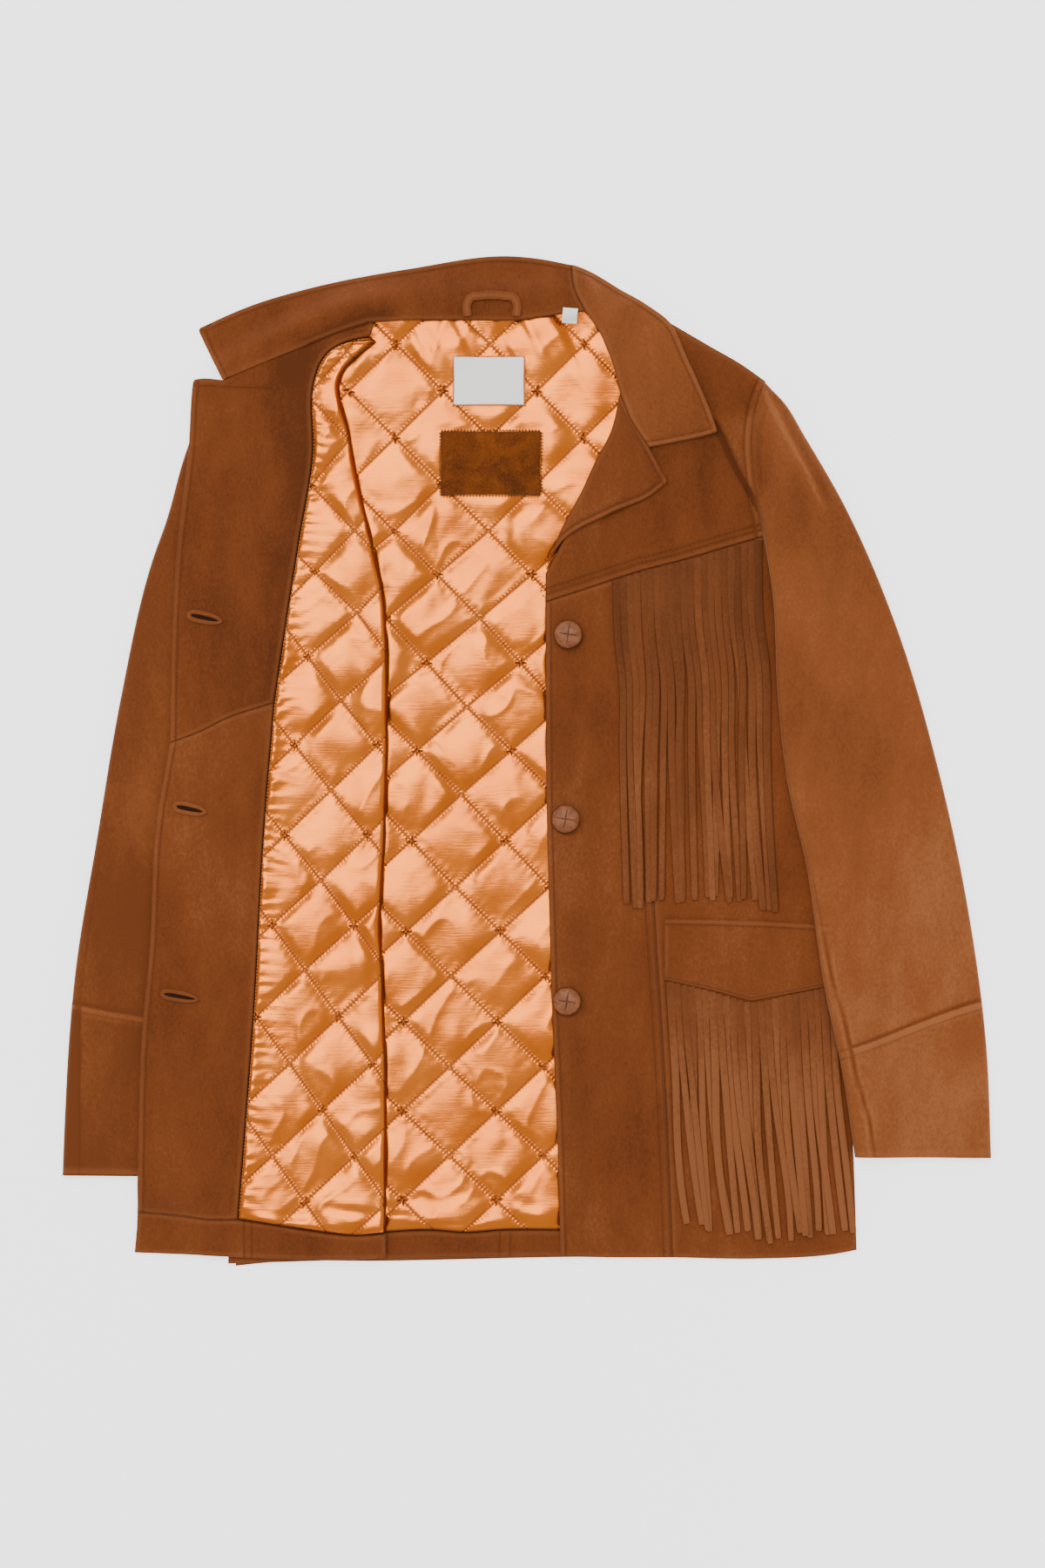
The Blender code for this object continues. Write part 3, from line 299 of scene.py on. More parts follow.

# %% [markdown]
# Suede is the brushed flesh side of a hide. Its nap lies this way and that, so one dye shows
# as cloudy light and dark patches, with short brush marks inside them and a fine grain over
# everything. It has almost no gloss, only a soft glow where the nap is seen from the side,
# which is what sheen is for. Seams press a groove into it, darkened with painted shade, and
# worn edges turn lighter. Each sheet carries two measures for that: how far a place is from
# the sheet's edge, and how far from the nearest row of stitches. A third, the tone, brings
# random patches and the painted shade and painted highlights laid at seams, welts and folds.

# %% Suede
def suede(name, dark, middle, light, glow=0.25):
    """Suede from three tones of one dye."""
    made = Finish(name)
    clouds = made.noise(8.5, 3.0, 0.5, 0.0, (1.0, 0.7, 1.0))
    brushed = made.noise(38.0, 4.0, 0.6, 0.2, (1.0, 0.38, 1.0))
    flecks = made.noise(430.0, 3.0, 0.75, 0.0, (1.0, 0.7, 1.0))
    grain = made.noise(1500.0, 2.0, 0.6)
    # The tone measure holds random patches and each panel's painted shade and painted highlights.
    shade = made.total((clouds, 0.52), (brushed, 0.42), (flecks, 0.44), (made.read("tone"), 0.16))
    colour = made.blend(made.step(shade, 0.40, 0.76), dark, middle)
    colour = made.blend(made.step(shade, 0.70, 0.98), colour, light)
    edge = made.read("edge")
    worn = made.math("MULTIPLY", made.step(edge, 0.3, 1.6), made.step(edge, 5.0, 1.8))
    colour = made.tint(colour, worn, 0.36, light)
    # Painted shade in the groove along each row of stitches.
    groove = made.step(made.math("ABSOLUTE", made.read("row")), 1.3, 0.1)
    colour = made.tint(colour, groove, 0.38, dark)
    colour = made.tint(colour, made.step(edge, 0.9, 0.0), 0.45, dark)
    made.relief((grain, 0.00016), (flecks, 0.00028), (brushed, 0.0007), (groove, -0.00045))
    made.set(Base_Color=colour, Roughness=0.93, Specular_IOR_Level=0.12)
    return made.set(Sheen_Weight=glow, Sheen_Roughness=0.45, Sheen_Tint=(0.95, 0.55, 0.32))


SUEDE = suede("suede_brown", (0.086, 0.0215, 0.0050), (0.152, 0.0390, 0.0095), (0.222, 0.068, 0.020))
SUEDE_LIGHT = suede("suede_light_nap", (0.126, 0.0330, 0.0080), (0.200, 0.0560, 0.0145),
                    (0.270, 0.088, 0.029), 0.3)
SUEDE_DEEP = suede("suede_deep_nap", (0.078, 0.0195, 0.0042), (0.142, 0.0365, 0.0085),
                   (0.208, 0.063, 0.018), 0.2)
SUEDE_FRINGE = suede("suede_fringe_nap", (0.074, 0.0195, 0.005), (0.140, 0.039, 0.011),
                     (0.215, 0.073, 0.025))
# A nearly black suede: painted shade for the inside of an open slit.
SUEDE_SLIT_SHADE = suede("suede_slit_painted_shade", (0.012, 0.0035, 0.0012), (0.022, 0.006, 0.002),
                  (0.040, 0.012, 0.004), 0.0)
print("four naps of suede, and its cut edge")

# %% [markdown]
# The lining is a copper satin. Satin's long floats of thread lie flat, so it shines like soft
# metal: a fold that faces the light turns bright peach and the next one stays dark. The folds
# themselves are in the mesh, so the finish needs a tinted gloss, a slight change of depth
# from place to place, and the fine pull of the threads, plus painted shade along the sewn
# lines and at the turned edges.

# %% Satin, thread, buttons and labels
def satin():
    """Copper satin: cloudy base, painted shade along each sewn line and at a turned edge, puckered by
    thread.
    """
    made = Finish("satin_copper")
    cloud = made.noise(26.0, 2.0, 0.5, 0.3)
    floats = made.noise(240.0, 3.0, 0.6, 0.0, (0.25, 3.0, 1.0))
    row = made.math("ABSOLUTE", made.read("row"))
    sewn = made.step(row, 0.9, 0.1)
    near = made.step(row, 3.2, 0.3)
    puckers = made.math("SINE", made.math("MULTIPLY", made.read("along"), 2.05))
    strokes = made.math("MULTIPLY", puckers, near)
    colour = made.blend(made.step(cloud, 0.3, 0.7), (0.66, 0.152, 0.012), (0.74, 0.186, 0.017))
    # Painted shade along each sewn line, and more lightly in the band beside it.
    colour = made.tint(colour, sewn, 0.55, (0.34, 0.085, 0.020))
    colour = made.tint(colour, near, 0.22, (0.45, 0.110, 0.024))
    # Painted shade where the satin's edge turns down under what meets it.
    turned = made.step(made.read("edge"), 3.0, 0.6)
    colour = made.tint(colour, turned, 0.85, (0.12, 0.040, 0.016))
    made.relief((floats, 0.00012), (cloud, 0.0012), (sewn, -0.0004), (strokes, 0.00016))
    return made.set(Base_Color=colour, Metallic=0.93, Roughness=0.27)


def thread(name, dark, light):
    """Sewing thread: two tones that follow its twist."""
    made = Finish(name)
    twist = made.noise(1900.0, 2.0, 0.6)
    made.relief((twist, 0.0002))
    return made.set(Base_Color=made.blend(twist, dark, light), Roughness=0.7, Specular_IOR_Level=0.2)


def button_leather():
    """Plaited button leather: smooth, rubbed lighter on the crowns, dark in the joins, and darkened round
    the rim by painted shade.
    """
    made = Finish("button_leather_polished")
    patina = made.noise(190.0, 4.0, 0.6)
    pores = made.noise(2300.0, 2.0, 0.5)
    colour = made.blend(made.step(patina, 0.3, 0.7), (0.150, 0.042, 0.0125), (0.250, 0.085, 0.030))
    # The row measure darkens the joins and, as painted shade, the rim where the dome meets the cloth.
    colour = made.blend(made.step(made.read("row"), 0.0, 1.0), (0.045, 0.012, 0.004), colour)
    made.relief((patina, 0.00025), (pores, 0.00008))
    return made.set(Base_Color=colour, Roughness=0.5, Specular_IOR_Level=0.28)


def woven_label():
    """A close plain weave: two crossed rows of fine waves."""
    made = Finish("label_weave")
    warp = made.noise(900.0, 2.0, 0.5, 0.0, (3.0, 0.3, 1.0))
    weft = made.noise(900.0, 2.0, 0.5, 0.0, (0.3, 3.0, 1.0))
    weave = made.total((warp, 0.5), (weft, 0.5))
    made.relief((weave, 0.0003))
    return made.set(Base_Color=made.blend(weave, (0.90, 0.88, 0.84), (1.0, 0.985, 0.96)), Roughness=0.7)


def patch_suede():
    """A coarser, darker suede, brushed in large clouds."""
    made = Finish("suede_patch_dark")
    clouds = made.noise(38.0, 4.0, 0.6, 0.6)
    flecks = made.noise(700.0, 3.0, 0.7)
    shade = made.total((clouds, 0.7), (flecks, 0.5))
    colour = made.blend(made.step(shade, 0.35, 0.85), (0.055, 0.0125, 0.0012), (0.205, 0.048, 0.004))
    made.relief((flecks, 0.0004), (clouds, 0.0006))
    return made.set(Base_Color=colour, Roughness=0.95, Sheen_Weight=0.2, Specular_IOR_Level=0.1)


SATIN = satin()
THREAD_BROWN = thread("thread_brown", (0.085, 0.023, 0.006), (0.18, 0.060, 0.020))
THREAD_COPPER = thread("thread_copper", (0.40, 0.120, 0.032), (0.64, 0.25, 0.090))
BUTTON_LEATHER = button_leather()
LABEL = woven_label()
PATCH_SUEDE = patch_suede()
print("materials:", len(bpy.data.materials))

# %% [markdown]
# To lay one sheet on another, its maker must know how high the pile already is. A raster of
# heights, with a cell every two millimetres, does for that: each finished sheet raises the
# cells under it, and the next sheet rests on the highest cell within reach, softened as stiff
# suede bridges a step. A physics run could drape the cloth, but the coat's shape is known
# from the picture, and the raster gives the same pile every time.

# %% The height of the pile
CELL = 2.0
RASTER_CORNER = np.array([-410.0, -60.0])
RASTER_SHAPE = (460, 430)
LAYER_GAP = 0.3


def heap(*layers):
    """A raster raised to the highest point of each cloth or grid of places in every cell it crosses."""
    heights = np.zeros(RASTER_SHAPE)
    for layer in layers:
        grid = getattr(layer, "top", layer)
        rows = np.concatenate([grid, (grid[:-1] + grid[1:]) / 2])
        spots = np.concatenate([rows, (rows[:, :-1] + rows[:, 1:]) / 2], axis=1).reshape(-1, 3)
        cells = ((spots[:, :2] - RASTER_CORNER) / CELL).astype(int)
        np.maximum.at(heights, (cells[:, 1], cells[:, 0]), spots[:, 2])
    return heights


def moves(radius):
    """Every whole step of cells within a radius."""
    reach = int(radius / CELL)
    i, j = np.mgrid[-reach:reach + 1, -reach:reach + 1]
    near = i ** 2 + j ** 2 <= (radius / CELL) ** 2
    return list(zip(i[near], j[near]))


def settled(heights, clear=5.0, soften=9.0):
    """What the next sheet rests on: the highest cell within reach, then the mean of its surroundings.
    Clear is how far it keeps off what is higher, and soften how far the mean reaches, in mm."""
    ready = np.where(heights > 0, heights + LAYER_GAP, 0)
    highest, total = ready.copy(), np.zeros(RASTER_SHAPE)
    for move in moves(clear + soften):
        np.maximum(highest, np.roll(ready, move, axis=(0, 1)), out=highest)
    for move in moves(soften):
        total += np.roll(highest, move, axis=(0, 1))
    return total / len(moves(soften))


def look_up(raster, spots):
    """Heights at places: the mean of the four nearest cells, weighted by how near each is."""
    at = (spots - RASTER_CORNER) / CELL - 0.5
    cell = np.floor(at).astype(int)
    (x, y), (i, j) = (at - cell).T, cell.T
    return ((1 - y) * ((1 - x) * raster[j, i] + x * raster[j, i + 1])
            + y * ((1 - x) * raster[j + 1, i] + x * raster[j + 1, i + 1]))


TABLE = np.zeros(RASTER_SHAPE)
print("raster of", RASTER_SHAPE[0] * RASTER_SHAPE[1], "cells")

# %% [markdown]
# A pattern piece has four sides, straight or curved. Blender can fill an outline with faces,
# but then the mesh doesn't follow the cloth. A sheet stretched between four sides does: every
# place is the blend of bottom and top, plus the blend of left and right, less the blend of
# the four corners. Rows of the mesh crowd at the rims, where the cut edge rounds over.

# %% A sheet between four sides
RIMS = np.array([0.25, 0.8, 1.7])


def shares(length, step):
    """Shares of a side for the mesh's lines: even steps, with a few close ones at each rim."""
    count = max(2, int(round((length - 2 * RIMS[-1]) / step)))
    even = np.linspace(RIMS[-1], length - RIMS[-1], count + 1)
    return np.concatenate([[0], RIMS[:-1], even, length - RIMS[:-1][::-1], [length]]) / length


def stretched(bottom, top, left, right, step):
    """The four-sided sheet's places, in rows from bottom to top."""
    across = shares(max(strides(bottom).sum(), strides(top).sum()), step)
    up = shares(max(strides(left).sum(), strides(right).sum()), step)
    u, v = across[None, :, None], up[:, None, None]
    corners = ((1 - u) * (1 - v) * bottom[0] + u * (1 - v) * bottom[-1]
               + (1 - u) * v * top[0] + u * v * top[-1])
    return ((1 - v) * at_shares(bottom, across)[None] + v * at_shares(top, across)[None]
            + (1 - u) * at_shares(left, up)[:, None] + u * at_shares(right, up)[:, None] - corners)


def into_mesh(name, places, faces, finish, slot, nodes, **measures):
    """A mesh from places in millimetres and arrays of corner numbers, one array for each kind of face.
    The piece rides on the coat's one body, and stands for the CAD nodes that are named. The slot is not
    used."""
    world_places = (places - np.append(MIDDLE, 0)) * MM
    mesh = bpy.data.meshes.new(name)
    mesh.vertices.add(len(world_places))
    mesh.vertices.foreach_set("co", world_places.astype(np.float32).ravel())
    sizes = np.concatenate([np.full(len(kind), kind.shape[1]) for kind in faces])
    mesh.loops.add(int(sizes.sum()))
    corners = np.concatenate([kind.ravel() for kind in faces]).astype(np.int32)
    mesh.loops.foreach_set("vertex_index", corners)
    mesh.polygons.add(len(sizes))
    mesh.polygons.foreach_set("loop_start", np.concatenate([[0], np.cumsum(sizes)[:-1]]).astype(np.int32))
    mesh.update(calc_edges=True)
    for measure, values in measures.items():
        made = mesh.attributes.new(measure, "FLOAT", "POINT")
        made.data.foreach_set("value", values.astype(np.float32))
    mesh.materials.append(finish)
    mesh.shade_smooth()
    mesh.set_sharp_from_angle(angle=math.radians(60))
    piece = bpy.data.objects.new(name, mesh)
    bpy.context.scene.collection.objects.link(piece)
    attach(piece, "root")
    if nodes:
        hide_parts(*nodes)
    return piece


def tube_faces(number):
    """Squares of tubes whose corners are numbered ring by ring: a corner, the one below it in the
    next ring, and the two beside them on the way round."""
    beyond = np.roll(number, -1, axis=-1)
    return np.stack([number[..., :-1, :], number[..., 1:, :], beyond[..., 1:, :], beyond[..., :-1, :]],
                    -1).reshape(-1, 4)


def shell_faces(rows, columns):
    """Faces of a closed wall: the top's squares, the underside's turned over, and the rim's band."""
    number = np.arange(rows * columns).reshape(rows, columns)
    squares = np.stack([number[:-1, :-1], number[:-1, 1:], number[1:, 1:], number[1:, :-1]],
                       -1).reshape(-1, 4)
    ring = np.concatenate([number[0, :-1], number[:-1, -1], number[-1, :0:-1], number[:0:-1, 0]])
    after = np.roll(ring, -1)
    below = rows * columns
    band = np.stack([ring + below, after + below, after, ring], -1)
    return np.concatenate([squares, squares[:, ::-1] + below, band])


print("a sheet of", stretched(curve((0, 0), (9, 0)), curve((0, 9), (9, 9)), curve((0, 0), (0, 9)),
                              curve((9, 0), (9, 9)), 1).shape[:2], "places")

# %% [markdown]
# Now one function can lay any panel. It works out how far each place is from the outline, and
# rounds the wall over there by a quarter circle. Along a fold, the sheet curves down to what
# lies below instead. The same function then gives the height at any place, which is how the
# stitches find the surface later on.

# %% Lay one panel of cloth
Cloth = namedtuple("Cloth", "piece top height outline")
FOLD_REACH = 8.0
ROUND_OVER = 1.7


def quarter(distance, radius):
    """Height share of a rounded edge: the root of 1 less the square of 1 minus distance over radius."""
    return np.sqrt(1 - (1 - np.clip(distance / radius, 0, 1)) ** 2)


def nearest_row(spots, rows):
    """Signed distance to the nearest row of stitches: the smallest one, with all signs multiplied."""
    nearest, sign = np.full(len(spots), 30.0), np.ones(len(spots))
    for row in rows:
        gap, side = measured(spots, extended(row))
        nearest, sign = np.minimum(nearest, gap), sign * np.where(side == 0, 1, side)
    return nearest * sign


def extended(path, by=40.0):
    """A path carried straight on at both ends, so that no measure jumps where it stops."""
    first, last = path[0] - path[1], path[-1] - path[-2]
    return np.vstack([path[0] + by * first / np.linalg.norm(first), path[1:-1],
                      path[-1] + by * last / np.linalg.norm(last)])


def cut_of(plan):
    """A flat pattern's width, length and area, in metres: the sides of the closest turned rectangle,
    and half the sum of its squares' diagonals, each crossed with the other."""
    a, b = plan[1:, 1:] - plan[:-1, :-1], plan[1:, :-1] - plan[:-1, 1:]
    area = np.abs(a[..., 0] * b[..., 1] - a[..., 1] * b[..., 0]).sum() / 2
    turn = np.radians(np.arange(0, 90, 3))
    x = np.outer(np.cos(turn), plan[..., 0]) + np.outer(np.sin(turn), plan[..., 1])
    y = np.outer(np.cos(turn), plan[..., 1]) - np.outer(np.sin(turn), plan[..., 0])
    closest = (np.ptp(x, axis=1) * np.ptp(y, axis=1)).argmin()
    return np.ptp(x[closest]) * MM, np.ptp(y[closest]) * MM, area * MM * MM


def lay(name, sides, on, wall, finish, slot, nodes, step=3.0, relief=None, fold=None, fold_on=None,
        reach=FOLD_REACH, rows=(), tone=None, flush=None, rests_on="back", edge_round=ROUND_OVER):
    """Stretch a panel between bottom, top, left and right, rest it on the raster, and give it a wall.
    Rows are lines of stitches, tone adds random patches and painted shade and highlights to the colour,
    and flush is an edge that is sewn, not cut."""
    plan = stretched(*sides, step)
    if np.cross(plan[0, -1] - plan[0, 0], plan[-1, 0] - plan[0, 0]) < 0:
        plan = plan[:, ::-1]
    bottom_side, top_side, left_side, right_side = sides
    outline = joined(bottom_side, right_side, top_side[::-1], left_side[::-1])
    spots = plan.reshape(-1, 2)

    def skins(places):
        """Heights of the underside and the top at any place, and how far in from the edge it is."""
        inwards = measured(places, outline)[0]
        under = look_up(on, places)
        over = under + wall * (0.42 + 0.58 * quarter(inwards, edge_round))
        if relief is not None:
            over = over + relief(places, inwards)
        if rows:
            pulled = nearest_row(places, rows)
            over = over - 0.6 * bell(pulled, 1.4) + 0.35 * bell(np.abs(pulled) - 3.4, 2.0)
        if fold is not None:
            gap, floor = measured(places, fold)[0], look_up(fold_on, places)
            gentle = 0.45 + 0.55 * np.sin(math.pi / 2 * np.clip(gap / reach, 0, 1))
            over = floor + 0.5 * wall + (over - floor - 0.5 * wall) * gentle
            under = floor + np.maximum(under - floor, 0) * quarter(gap, reach)
        return under, np.maximum(over, under + 0.3 * wall), inwards

    under, over, inwards = skins(spots)
    places = np.vstack([np.column_stack([spots, over]), np.column_stack([spots, under])])
    if flush is not None:
        inwards = np.where(measured(spots, flush)[0] < 3, 3, inwards)
    doubled = {"edge": np.tile(np.minimum(inwards, 40), 2), "row": np.tile(nearest_row(spots, rows), 2),
               "tone": np.tile(np.zeros(len(spots)) if tone is None else tone(spots), 2)}
    piece = into_mesh(name, places, [shell_faces(*plan.shape[:2])], finish, slot, nodes, **doubled)
    width, length, area = cut_of(plan)
    print(name, plan.shape[:2], "cut", round(width, 3), "x", round(length, 3), "m, top at",
          round(over.max(), 1), "mm")
    return Cloth(piece, places[:len(spots)].reshape(*plan.shape[:2], 3), lambda at: skins(at)[1], outline)


def ripple(size, height, seed, stretch=1.6, turn=0.5):
    """Low waves in a panel that has been worn and laid by hand."""
    def relief(spots, inwards):
        waves = noise(spots, size, seed, turn, stretch)
        waves = waves + 0.4 * noise(spots, size * 0.4, seed + 1, turn + 1.1)
        return height * (waves + 0.6) * ease(inwards / 12)
    return relief


print("ready to lay cloth")

# %% [markdown]
# The stitches are real thread. Each one is a short spindle of sixteen triangles, laid along a
# row with its two ends on the cloth. There are thousands, so they are gathered here while the
# panels are made, and turned into two meshes at the end.

# %% Gather stitches
threads = {"brown": [], "copper": []}


def sew(kind, path, height, pitch=3.4, length=2.3, lift=0.12):
    """Stitches on a path: at each step, two ends half a stitch before and behind, on the cloth."""
    dense = spaced(path, pitch)
    way = heading(dense)
    ends = np.stack([dense - way * length / 2, dense + way * length / 2], axis=1)
    level = height(ends.reshape(-1, 2)).reshape(-1, 2, 1) + lift
    threads[kind].append(np.concatenate([ends, level], axis=2))


print("needle threaded")

# %% [markdown]
# The first layer is the back, face down on the table, which shows only as a sliver below the
# hem. Its outline is what every other panel is set against.

# %% The back
BACK_WALL = 2.6
back_hem = curve((-206, -7), (-176, -4), (-85, -3), (55, 0), (213, 1), (277, 4), (287, 5))
back_top = joined(curve((-216, 703), (-199, 718), (-178, 730), (-142, 750), (-125, 761)),
                  curve((-125, 761), (-94, 754), (-46, 753), (0, 753), (52, 756), (94, 757), (125, 761)),
                  curve((125, 761), (140, 747), (176, 725), (196, 714), (214, 702)))
back_right_side = joined(
    curve((-206, -7), (-202, 198), (-196, 289), (-190, 380), (-184, 478), (-175, 548)),
    curve((-175, 548), (-193, 576), (-205, 618), (-210, 660), (-216, 703)))
back_left_side = joined(curve((287, 5), (284, 91), (274, 219), (260, 380), (246, 538)),
                        curve((246, 538), (217, 582)),
                        curve((217, 582), (210, 616), (208, 636), (207, 655), (209, 674), (214, 702)))
back = lay("back", (back_hem, back_top, back_right_side, back_left_side), TABLE, BACK_WALL, SUEDE,
           "suede", ["back_body"], step=6.0, rests_on=None)

# %% [markdown]
# A sleeve is a tube that has been pressed flat. Round it, the wall runs along the underside,
# turns up in a half circle, and comes back along the top. Down it, the two silhouettes give
# the sleeve's sides, so a place is found by its share of the way round and its share of the
# way down. The cuff is open, so the wall turns inwards there and runs back up inside.

# %% Sleeves as flattened tubes
SLEEVE_WALL = 2.0
TUBE = 8.0
SLEEVE_DOWN = 1.25


def seam_shade(seam, band=6.0):
    """Painted shade in the seam itself, and a painted highlight on the welt just below it."""
    def shade(spots):
        off = -past(spots, extended(seam, 4.0))
        return 1.5 * ease(off / 1.5) * ease((band + 1.5 - off) / 2) - 3.2 * bell(off + 0.4, 1.5)
    return shade


def sleeve(name, seam_edge, far_edge, armhole, cuffs, ends, on, below, nodes, rows, relief, seed, toning):
    """A flattened tube between two edges. Places down it run from 0 at the armhole to 1 at the cuff
    seam. The top bridges over what it crosses, and the underside sags on to what is below."""
    down = np.concatenate([[0.002], np.linspace(0.008, 0.99, 150), np.linspace(0.995, 1.01, 7),
                           np.linspace(1.02, SLEEVE_DOWN - 0.006, 38),
                           [SLEEVE_DOWN - 0.002, SLEEVE_DOWN]])
    marks = [0, 1, SLEEVE_DOWN]
    y_seam = np.interp(down, marks, [seam_edge[0, 1], cuffs[0], ends[0]])
    y_far = np.interp(down, marks, [far_edge[0, 1], cuffs[1], ends[1]])
    start = np.column_stack([np.interp(y_seam, seam_edge[::-1, 1], seam_edge[::-1, 0]), y_seam])
    finish_at = np.column_stack([np.interp(y_far, far_edge[::-1, 1], far_edge[::-1, 0]), y_far])
    width = np.linalg.norm(finish_at - start, axis=1)
    fade = np.clip(1 - down / 0.3, 0, 1) ** 2
    half = TUBE / 2
    turn = np.linspace(-math.pi / 2, math.pi / 2, 10)
    flat = np.linspace(0, 1, 38)[1:-1]

    def skin(size, places_down):
        """One skin of the wall: half circles at both edges, and flats above and below."""
        w = width[places_down, None]
        near = half - size * np.cos(turn)[None] + 0 * w
        far = w - half + size * np.cos(turn)[None]
        level = half + flat[None] * (w - 2 * half)
        across = np.hstack([near, level, far[:, ::-1], level[:, ::-1]]) / w
        rise = np.concatenate([np.sin(turn), np.ones(len(flat)), np.sin(turn)[::-1], -np.ones(len(flat))])
        line = start[places_down, None] + across[..., None] * (finish_at - start)[places_down, None]
        chord = seam_edge[0] + across[..., None] * (far_edge[0] - seam_edge[0])
        plan = line + (at_shares(armhole, across) - chord) * fade[places_down, None, None]
        spots = plan.reshape(-1, 2)
        inner = np.minimum(across, 1 - across).ravel() * w.repeat(across.shape[1], 1).ravel()
        top_share = ease(np.tile(rise, len(places_down)) * 0.5 + 0.5)
        opened = ease(down[places_down] / 0.07).repeat(across.shape[1])
        sag = look_up(below, spots)
        bridged = np.maximum(look_up(on, spots) * ease((1 - across) / 0.4).ravel(), sag)
        base = sag + (bridged - sag) * top_share * opened
        base = base + (half + size * np.tile(rise, len(places_down))) * (0.35 + 0.65 * opened)
        base = base + relief(spots, inner, down[places_down].repeat(across.shape[1])) * top_share
        return np.column_stack([spots, base]).reshape(*across.shape, 3)

    every = np.arange(len(down))
    outer = skin(half, every)
    inner = skin(half - SLEEVE_WALL, every)
    across_count = outer.shape[1]
    places = np.concatenate([outer, inner[::-1]]).reshape(-1, 3)
    number = np.arange(len(places)).reshape(-1, across_count)
    squares = tube_faces(np.vstack([number, number[:1]]))[:, [0, 3, 2, 1]]
    spots = places[:, :2]
    from_end = np.concatenate([down, down[::-1]]).repeat(across_count)
    edge = np.minimum(40, (SLEEVE_DOWN - from_end) * 0.5 * np.ptp(seam_edge[:, 1]))
    # The toning holds each sleeve's painted shade and painted highlights; the noise adds random patches.
    piece = into_mesh(name, places, [squares], SUEDE_LIGHT, "suede_light", nodes,
                      edge=np.clip(edge, 0.6, 40), row=nearest_row(spots, rows),
                      tone=toning(spots) + 0.8 * noise(spots, 60, seed, 0.8, 2.0))
    shown = outer[:, :len(turn) + len(flat) + len(turn)]
    return Cloth(piece, shown, None, None)


def sleeve_waves(seed, height=1.0):
    """Low waves that grow at the cuff's seam, and the welt that stands up just below it."""
    def relief(spots, inner, down):
        soft = noise(spots, 46, seed, 0.35, 2.6) + 0.5 * noise(spots, 20, seed + 1, -0.4, 2.2)
        near_cuff = 1 + 0.8 * bell(down - 1, 0.05)
        welt = (1.5 * ease((down - 0.996) / 0.008) * (0.35 + 0.65 * ease((1.028 - down) / 0.012))
                * ease((1.12 - down) / 0.08))
        return height * (soft + 0.5) * ease(inner / 16) * near_cuff + welt
    return relief


right_cuff_line = curve((-340, 205.5), (-307, 199), (-280, 194.6), (-236, 187), (-226, 184))
right_sleeve_rows = [right_cuff_line, right_cuff_line - np.array([0, 6]),
                     curve((-323, 268), (-331, 204), (-331.5, 130), (-331.5, 66))]


def right_sleeve_painted_shading(spots):
    """The whole sleeve is toned darker. On the cuff there is painted shade and a painted highlight at its
    seam, painted shade in the sleeve's own seam, and painted shade on the under half beyond it, where the
    tube turns down.
    """
    beyond = spots[:, 0] + 331.5
    return (-1.35 + seam_shade(right_cuff_line, 5.0)(spots)
            - ease((206 - spots[:, 1]) / 6) * (1.1 * ease(-beyond / 1.5) + 2.4 * bell(beyond, 1.1)))


right_sleeve = sleeve(
    "right_sleeve",
    curve((-218, 704), (-233, 679), (-246, 646), (-262, 590), (-272, 562), (-298, 450), (-317, 338),
          (-335, 226), (-340, 170), (-343, 114), (-345, 64)),
    curve((-187, 550), (-199, 478), (-206, 380), (-214, 282), (-224, 198), (-238, 62)),
    curve((-218, 704), (-212, 660), (-208, 618), (-200, 580), (-187, 550)),
    (205, 184), (66, 65), TABLE, TABLE,
    ["right_sleeve_top", "right_sleeve_under", "right_cuff_top", "right_cuff_under"],
    right_sleeve_rows, sleeve_waves(11), 12, right_sleeve_painted_shading)

# %% [markdown]
# The lining is quilted in diamonds, and the picture shows that its lines drift: the diamonds
# lean as the cloth was laid. Two rows of the table below say where one column of crossings
# lies at each height. Between them, "up" counts crossings and "across" counts diamonds, and a
# sewn line runs wherever up plus across, or up minus across, is a whole number. Inside each
# diamond the wadding puffs up, the satin gathers into small pleats at the lines, and long soft
# wrinkles run through. All of that is summed into one height.

# %% The quilting's lattice and its relief
BACK_COLUMN = np.array([(-1.4, 835), (-1.4, 733), (-2.1, 658), (-2.8, 583), (-9.5, 513),
                        (-20.2, 442), (-24.5, 371.7), (-29.4, 297.5), (-32.9, 226), (-34.3, 153),
                        (-34.3, 82), (-34, -62)])
BACK_COUNT = np.array([-1.4, 0, 1, 2, 3, 4, 5, 6, 7, 8, 9, 11.0])
FRONT_COLUMN = np.array([(-124, 800), (-116, 727), (-114, 656), (-110, 583), (-108, 517), (-121, 447),
                         (-129, 375), (-137, 303), (-150, 231), (-162, 156), (-176, 82), (-190, 8)])
FRONT_COUNT = np.arange(-3.0, 9.0)
BACK_QUILT, FRONT_QUILT = (BACK_COLUMN, BACK_COUNT, 75.6), (FRONT_COLUMN, FRONT_COUNT, 66.0)
SEWN_SCALE = 16.6
DIAMOND_SIDE = 52.0
PLEAT = 7.5


def lattice(spots, column, count, wide):
    """Diamonds counted up and across from the drifting column of crossings."""
    (at, level), count = column[::-1].T, count[::-1]
    return (spots[:, 0] - np.interp(spots[:, 1], level, at)) / wide, np.interp(spots[:, 1], level, count)


def slanted(up, across):
    """The two counts' sines, which vanish on the sewn lines that lean one way and the other."""
    return np.sin(math.pi * (up + across)), np.sin(math.pi * (up - across))


def sewn_distance(spots, column, count, wide):
    """Signed distance to the nearest sewn line, from the smaller of the two sines."""
    across, up = lattice(spots, column, count, wide)
    first, second = slanted(up, across)
    return np.sign(first * second) * np.minimum(np.abs(first), np.abs(second)) * SEWN_SCALE, across, up


